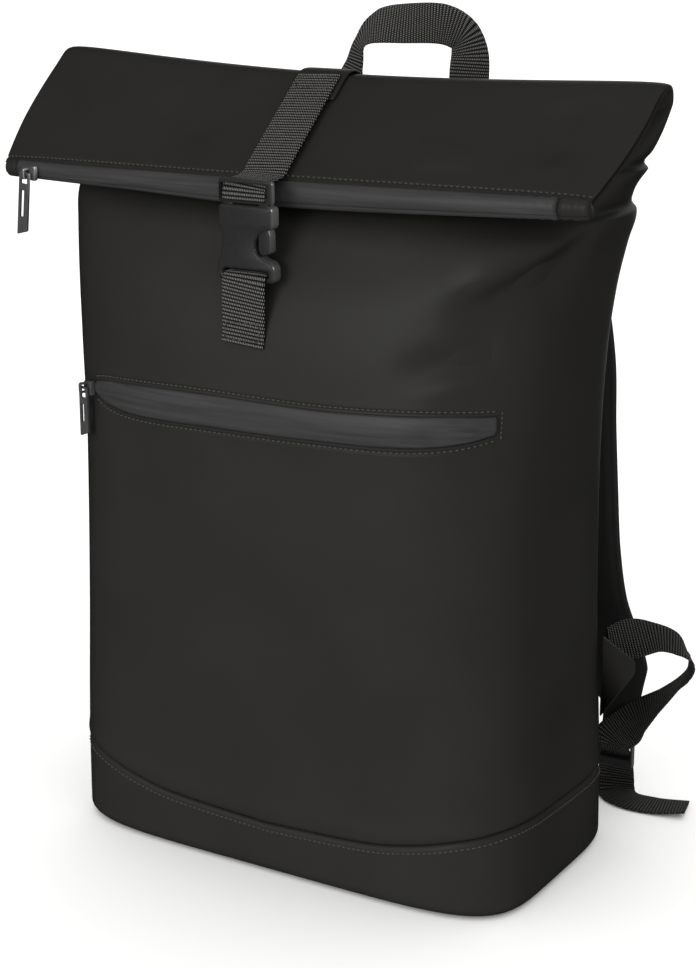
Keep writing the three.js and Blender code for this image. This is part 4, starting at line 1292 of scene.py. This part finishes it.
def make_closure():
    strip = raised_line(STRIP_START, FOLD_END + STRIP_BELOW, STRIP_GAP + STRIP_THICK / 2, STRIP_STOPS)
    make_ribbon("closure_strip", strip, across_sides(strip), STRIP_WIDE, STRIP_THICK, COATED, ribbed=False)
    upper = raised_line(FOLD_END, MOUTH, STRIP_GAP + STRIP_THICK + GAP + WEB / 2, WEB_STOPS)
    front = body_point(-math.pi / 2, [row["z"] for row in LOWER_WEB_FOOT])[:, 1] - GAP - WEB / 2
    foot = [[row["x"], y, row["z"]] for row, y in zip(LOWER_WEB_FOOT, front)]
    stitches = []
    for node, start, end in (("closure", upper, CLOSURE_END), ("lower", foot, LOWER_WEB_END)):
        places = np.vstack([start, buckle_line(end)])
        sides = across_sides(places)
        make_ribbon(f"{node}_webbing", places, sides, WEB_WIDE, WEB, WEBBING, pitch=CLOSURE_RIB_PITCH)
        stitches += box_stitches(places)
    sew("closure_stitches", stitches)


def stations(rows, side=1):
    """Places and ways across of a ribbon's stations, mirrored for the left."""
    flip = np.array([side, 1, 1])
    places = np.array([[row["x"], row["y"], row["z"]] for row in rows], float)
    sides = np.array([[row["wx"], row["wy"], row["wz"]] for row in rows], float)
    return places * flip, unit(sides * flip)


def handle_foot(side):
    """Stations of one sewn foot of the handle on the back, from below."""
    x = side * HANDLE_FOOT_X
    rows = []
    for z in HANDLE_FOOT_LEVELS:
        back = body_point(share_table(z)[0], z)
        rear = back[back[:, 1] > 0][::-1]
        y = np.interp(x, rear[:, 0], rear[:, 1]) + GAP + HANDLE_THICK / 2
        rows.append((x, y, z, side, 0, 0))
    return table(STATION_COLUMNS, *rows)


def make_handle():
    rows = handle_foot(1) + HANDLE + handle_foot(-1)[::-1]
    make_ribbon("grab_handle", *stations(rows), HANDLE_WIDE, HANDLE_THICK, WEBBING)


def make_strap_webbing(name, side):
    make_ribbon(f"strap_webbing_{name}", *stations(STRAP_WEB, side), STRAP_WEB_WIDE, WEB, STRAP_WEBBING)


# Shoulder straps

def make_shoulder_strap(name, side):
    line = curve_through([[side * row["x"], row["y"], row["z"]] for row in STRAP], STRAP_STEPS)
    t = np.linspace(0, 1, len(line))
    rows = [{**row, "at": k / (len(STRAP) - 1)} for k, row in enumerate(STRAP)]
    wide, thick, yaw = (smooth(rows, "at", column)(t) for column in ("wide", "thick", "yaw"))
    yaw = np.radians(yaw)
    way = unit(np.gradient(line, axis=0))
    across = np.stack([np.cos(yaw), side * np.sin(yaw), np.zeros_like(yaw)], -1)
    across = unit(across - way * np.sum(across * way, -1, keepdims=True))
    out = np.cross(way, across)
    u = np.sin(np.linspace(-math.pi / 2, math.pi / 2, STRAP_ACROSS))
    pillow = np.sqrt(np.clip(1 - np.abs(u) ** STRAP_POWER, 0, 1)) ** STRAP_SWELL
    from_channel = (1 - np.abs(u) - STRAP_CHANNEL["at"]) / STRAP_CHANNEL["wide"]
    height = np.clip(pillow - STRAP_CHANNEL["deep"] * np.exp(-(from_channel**2)), 0.0, 1.0)
    local_u = np.concatenate([u, u[-2:0:-1]])
    local_h = np.concatenate([height, -height[-2:0:-1]])
    rows = line[:, None] + across[:, None] * (local_u[None] * wide[:, None] / 2)[:, :, None]
    rows = rows + out[:, None] * (local_h[None] * thick[:, None] / 2)[:, :, None]
    pad = dress(f"shoulder_strap_{name}", grid_mesh(rows, caps=True), STRAP_CLOTH)
    face = np.sign(out[:, 1:2]) * out
    middle = line + face * (thick / 2 * STRAP_STITCH_UP)[:, None]
    off = across * (STRAP_STITCH_AT * wide / 2)[:, None]
    sew(f"strap_stitches_{name}", [stitch_row(middle + sign * off, face) for sign in (-1, 1)])


# Plates with rounded edges

def plate_mesh(outlines, thick, bevel):
    """Flat plate from closed outlines in its own plane, the first outer and the rest holes."""
    curve = bpy.data.curves.new("plate", "CURVE")
    curve.dimensions = "2D"
    curve.fill_mode = "BOTH"
    curve.extrude = max(thick / 2 - bevel, PLATE_LEAST) * MM
    curve.bevel_depth = bevel * MM
    curve.bevel_resolution = PLATE_BEVEL_STEPS
    curve.offset = -bevel * MM
    for outline in outlines:
        count = len(outline)
        spline = curve.splines.new("POLY")
        spline.points.add(count - 1)
        corners = np.column_stack([outline * MM, np.zeros(count), np.ones(count)])
        spline.points.foreach_set("co", corners.ravel())
        spline.use_cyclic_u = True
    holder = bpy.data.objects.new("plate", curve)
    bpy.context.scene.collection.objects.link(holder)
    depsgraph = bpy.context.evaluated_depsgraph_get()
    mesh = bpy.data.meshes.new_from_object(holder.evaluated_get(depsgraph))
    bpy.data.objects.remove(holder)
    bpy.data.curves.remove(curve)
    face_out(mesh, PLATE_MERGE)
    return mesh


def upright_plate(outlines, thick, bevel, centre):
    """Plate that faces the front, with its middle at a depth."""
    mesh = plate_mesh(outlines, thick, bevel)
    mesh.transform(Matrix.Translation((0, centre * MM, 0)) @ Matrix.Rotation(math.pi / 2, 4, "X"))
    return mesh


def rounded(corners, radius, steps=CORNER_STEPS):
    """Closed outline with its corners rounded."""
    corners = np.asarray(corners, float)
    points = []
    for k, here in enumerate(corners):
        before = corners[k - 1] - here
        after = corners[(k + 1) % len(corners)] - here
        reach = min(radius, CORNER_SHARE * np.linalg.norm(before), CORNER_SHARE * np.linalg.norm(after))
        start = here + unit(before) * reach
        end = here + unit(after) * reach
        for t in np.linspace(0, 1, steps):
            points.append((1 - t) ** 2 * start + 2 * t * (1 - t) * here + t * t * end)
    return np.array(points)


def rounded_box(left, right, low, high, radius):
    return rounded([(left, low), (right, low), (right, high), (left, high)], radius)


def opening(size):
    return rounded_box(size["left"], size["right"], size["low"], size["high"], size["round"])


def joined_mesh(meshes):
    work = bmesh.new()
    for mesh in meshes:
        work.from_mesh(mesh)
        bpy.data.meshes.remove(mesh)
    whole = bpy.data.meshes.new("joined")
    work.to_mesh(whole)
    work.free()
    return whole


def make_buckle():
    edge = rounded_box(-MALE["half"], MALE["half"], MALE["low"], MALE["high"], MALE["round"])
    centre = BUCKLE_BACK - MALE["thick"] + MALE["bars"] / 2
    parts = [upright_plate([edge, opening(MALE_WINDOW)], MALE["bars"], MALE["bevel"], centre)]
    level = ARM_LEVELS
    arm = [
        (ARM["near"], level["top"]),
        (ARM["near"], level["low"] + ARM_TIP),
        (ARM["near"] + ARM_NOSE, level["low"]),
        (ARM["head"], level["head_low"]),
        (ARM["head"], level["head_top"]),
        (ARM["far"], level["head_top"] + ARM_TIP),
        (ARM["far"], level["top"]),
    ]
    for side in (-1, 1):
        edge = rounded([(side * x, z) for x, z in arm], ARM["round"])
        parts.append(upright_plate([edge], ARM["thick"], ARM["bevel"], BUCKLE_BACK - MALE["thick"] / 2))
    dress("buckle_male", joined_mesh(parts), PLASTIC)
    edge = rounded(FEMALE_EDGE, FEMALE["round"], FEMALE["steps"])
    centre = BUCKLE_BACK + FEMALE["out"] - FEMALE["thick"] / 2
    mesh = upright_plate([edge, opening(FEMALE_SLOT)], FEMALE["thick"], FEMALE["bevel"], centre)
    dress("buckle_female", mesh, PLASTIC)


def make_adjuster(name, side):
    lock = ADJUSTER
    edge = rounded_box(-lock["half"], lock["half"], lock["low"], lock["high"], lock["round"])
    centre = lock["y"] - lock["thick"] / 2
    mesh = upright_plate([edge, opening(ADJUSTER_WINDOW)], lock["thick"], lock["bevel"], centre)
    mesh.transform(Matrix.Translation((side * lock["x"] * MM, 0, 0)))
    dress(f"adjuster_{name}", mesh, PLASTIC)


def make_side_tab(name, side):
    theta = float(theta_of_share(TAB["column"] / CAD_COLUMNS, TAB["level"]))
    way = level_normal(theta, TAB["level"])
    root = body_point(theta, TAB["level"]) + way * GAP
    mesh = upright_plate([rounded(TAB_EDGE, TAB["round"])], TAB["thick"], TAB["bevel"], 0.0)
    turn = Matrix.Rotation(math.atan2(way[1], way[0]), 4, "Z")
    mesh.transform(Matrix.Translation((root[0] * MM, root[1] * MM, 0)) @ turn)
    if side < 0:
        mesh.transform(Matrix.Scale(-1, 4, (1, 0, 0)))
        mesh.flip_normals()
    dress(f"side_tab_{name}", mesh, COATED)


# Sliders and pulls

def slider_mesh():
    """Slider with the arch that its pull hangs in, with its back at the origin."""
    half = SLIDER["long"] / 2
    tall = SLIDER["tall"] / 2
    near = tall - SLIDER["taper"]
    block = rounded([(-half, -near), (half, -tall), (half, tall), (-half, near)], SLIDER["round"])
    thick = SLIDER["thick"]
    arch_out = thick + ARCH["out"]
    edge = rounded_box(thick - ARCH["sunk"], arch_out, -ARCH["tall"] / 2, ARCH["tall"] / 2, ARCH["round"])
    eye_half = ARCH["tall"] / 2 - ARCH["bar"]
    eye = rounded_box(thick, arch_out - ARCH["bar"], -eye_half, eye_half, ARCH_EYE_ROUND)
    arch = plate_mesh([edge, eye], ARCH["wide"], ARCH["bevel"])
    arch.transform(Matrix.Rotation(-math.pi / 2, 4, "Z") @ Matrix.Rotation(math.pi / 2, 4, "X"))
    return joined_mesh([upright_plate([block], thick, SLIDER["bevel"], -thick / 2), arch])


def pull_mesh(long):
    """Pull that hangs from its bar at the origin, with an eye and a slot."""
    wide = PULL["wide"] / 2
    bar = PULL["bar"] / 2
    edge = rounded([(-wide, bar), (-wide, -long), (wide, -long + PULL["slant"]), (wide, bar)], PULL_ROUND)
    leg = wide - PULL["leg"]
    eye = rounded_box(-leg, leg, -PULL["eye"], -bar, PULL_EYE_ROUND)
    slot = opening({**PULL_SLOT, "low": -long * (1 - PULL_SLOT["end"]), "high": PULL_SLOT["top"]})
    return upright_plate([edge, eye, slot], PULL["thick"], PULL_BEVEL, 0.0)


def make_zip_end(name, place, facing, long, yaw=0.0, lean=0.0):
    turn = Matrix.Rotation(math.atan2(facing[0], -facing[1]), 4, "Z")
    put = Matrix.Translation(Vector(place) * MM) @ turn
    slider = slider_mesh()
    slider.transform(put)
    dress(f"{name}_slider", slider, METAL)
    pivot = Matrix.Translation((0, -(SLIDER["thick"] + PIVOT_OUT) * MM, 0))
    hang = Matrix.Rotation(math.radians(yaw), 4, "Z") @ Matrix.Rotation(math.radians(lean), 4, "Y")
    pull = pull_mesh(long)
    pull.transform(put @ pivot @ hang)
    dress(f"{name}_pull", pull, METAL, f"{name}_pull")


def make_zip_ends():
    place = tube_place(MOUTH, np.array(TOP_SLIDER_X), 0.0)
    way = tube_place(MOUTH, np.array(TOP_SLIDER_X + SLIDER["long"] / 2), 0.0) - place
    facing = unit(np.array([way[1], -way[0], 0.0]))
    place = place + facing * (GAP - ZIP_FRONT)
    place[2] -= TOP_SLIDER_DROP
    make_zip_end("top", place, facing, TOP_PULL_LONG, lean=TOP_PULL_LEAN)
    theta = float(theta_of_share(POCKET_SLIDER_COLUMN / CAD_COLUMNS, POCKET_SLIDER_Z))
    facing = level_normal(theta, POCKET_SLIDER_Z)
    place = body_point(theta, POCKET_SLIDER_Z) + facing * GAP
    make_zip_end("pocket", place, facing, POCKET_PULL_LONG, yaw=POCKET_PULL_YAW)


make_camera()
make_stage()
make_body()
make_base()
make_roll_top()
make_top_zip()
make_pocket_zip()
make_closure()
make_buckle()
make_handle()
make_zip_ends()
for side_name, side_sign in (("left", -1), ("right", 1)):
    make_shoulder_strap(side_name, side_sign)
    make_adjuster(side_name, side_sign)
    make_side_tab(side_name, side_sign)
    make_strap_webbing(side_name, side_sign)
hard = [obj for obj in bpy.data.objects if obj.active_material in (PLASTIC.material, METAL.material)]
sun_light("rim", RIM_LIGHT, hard)
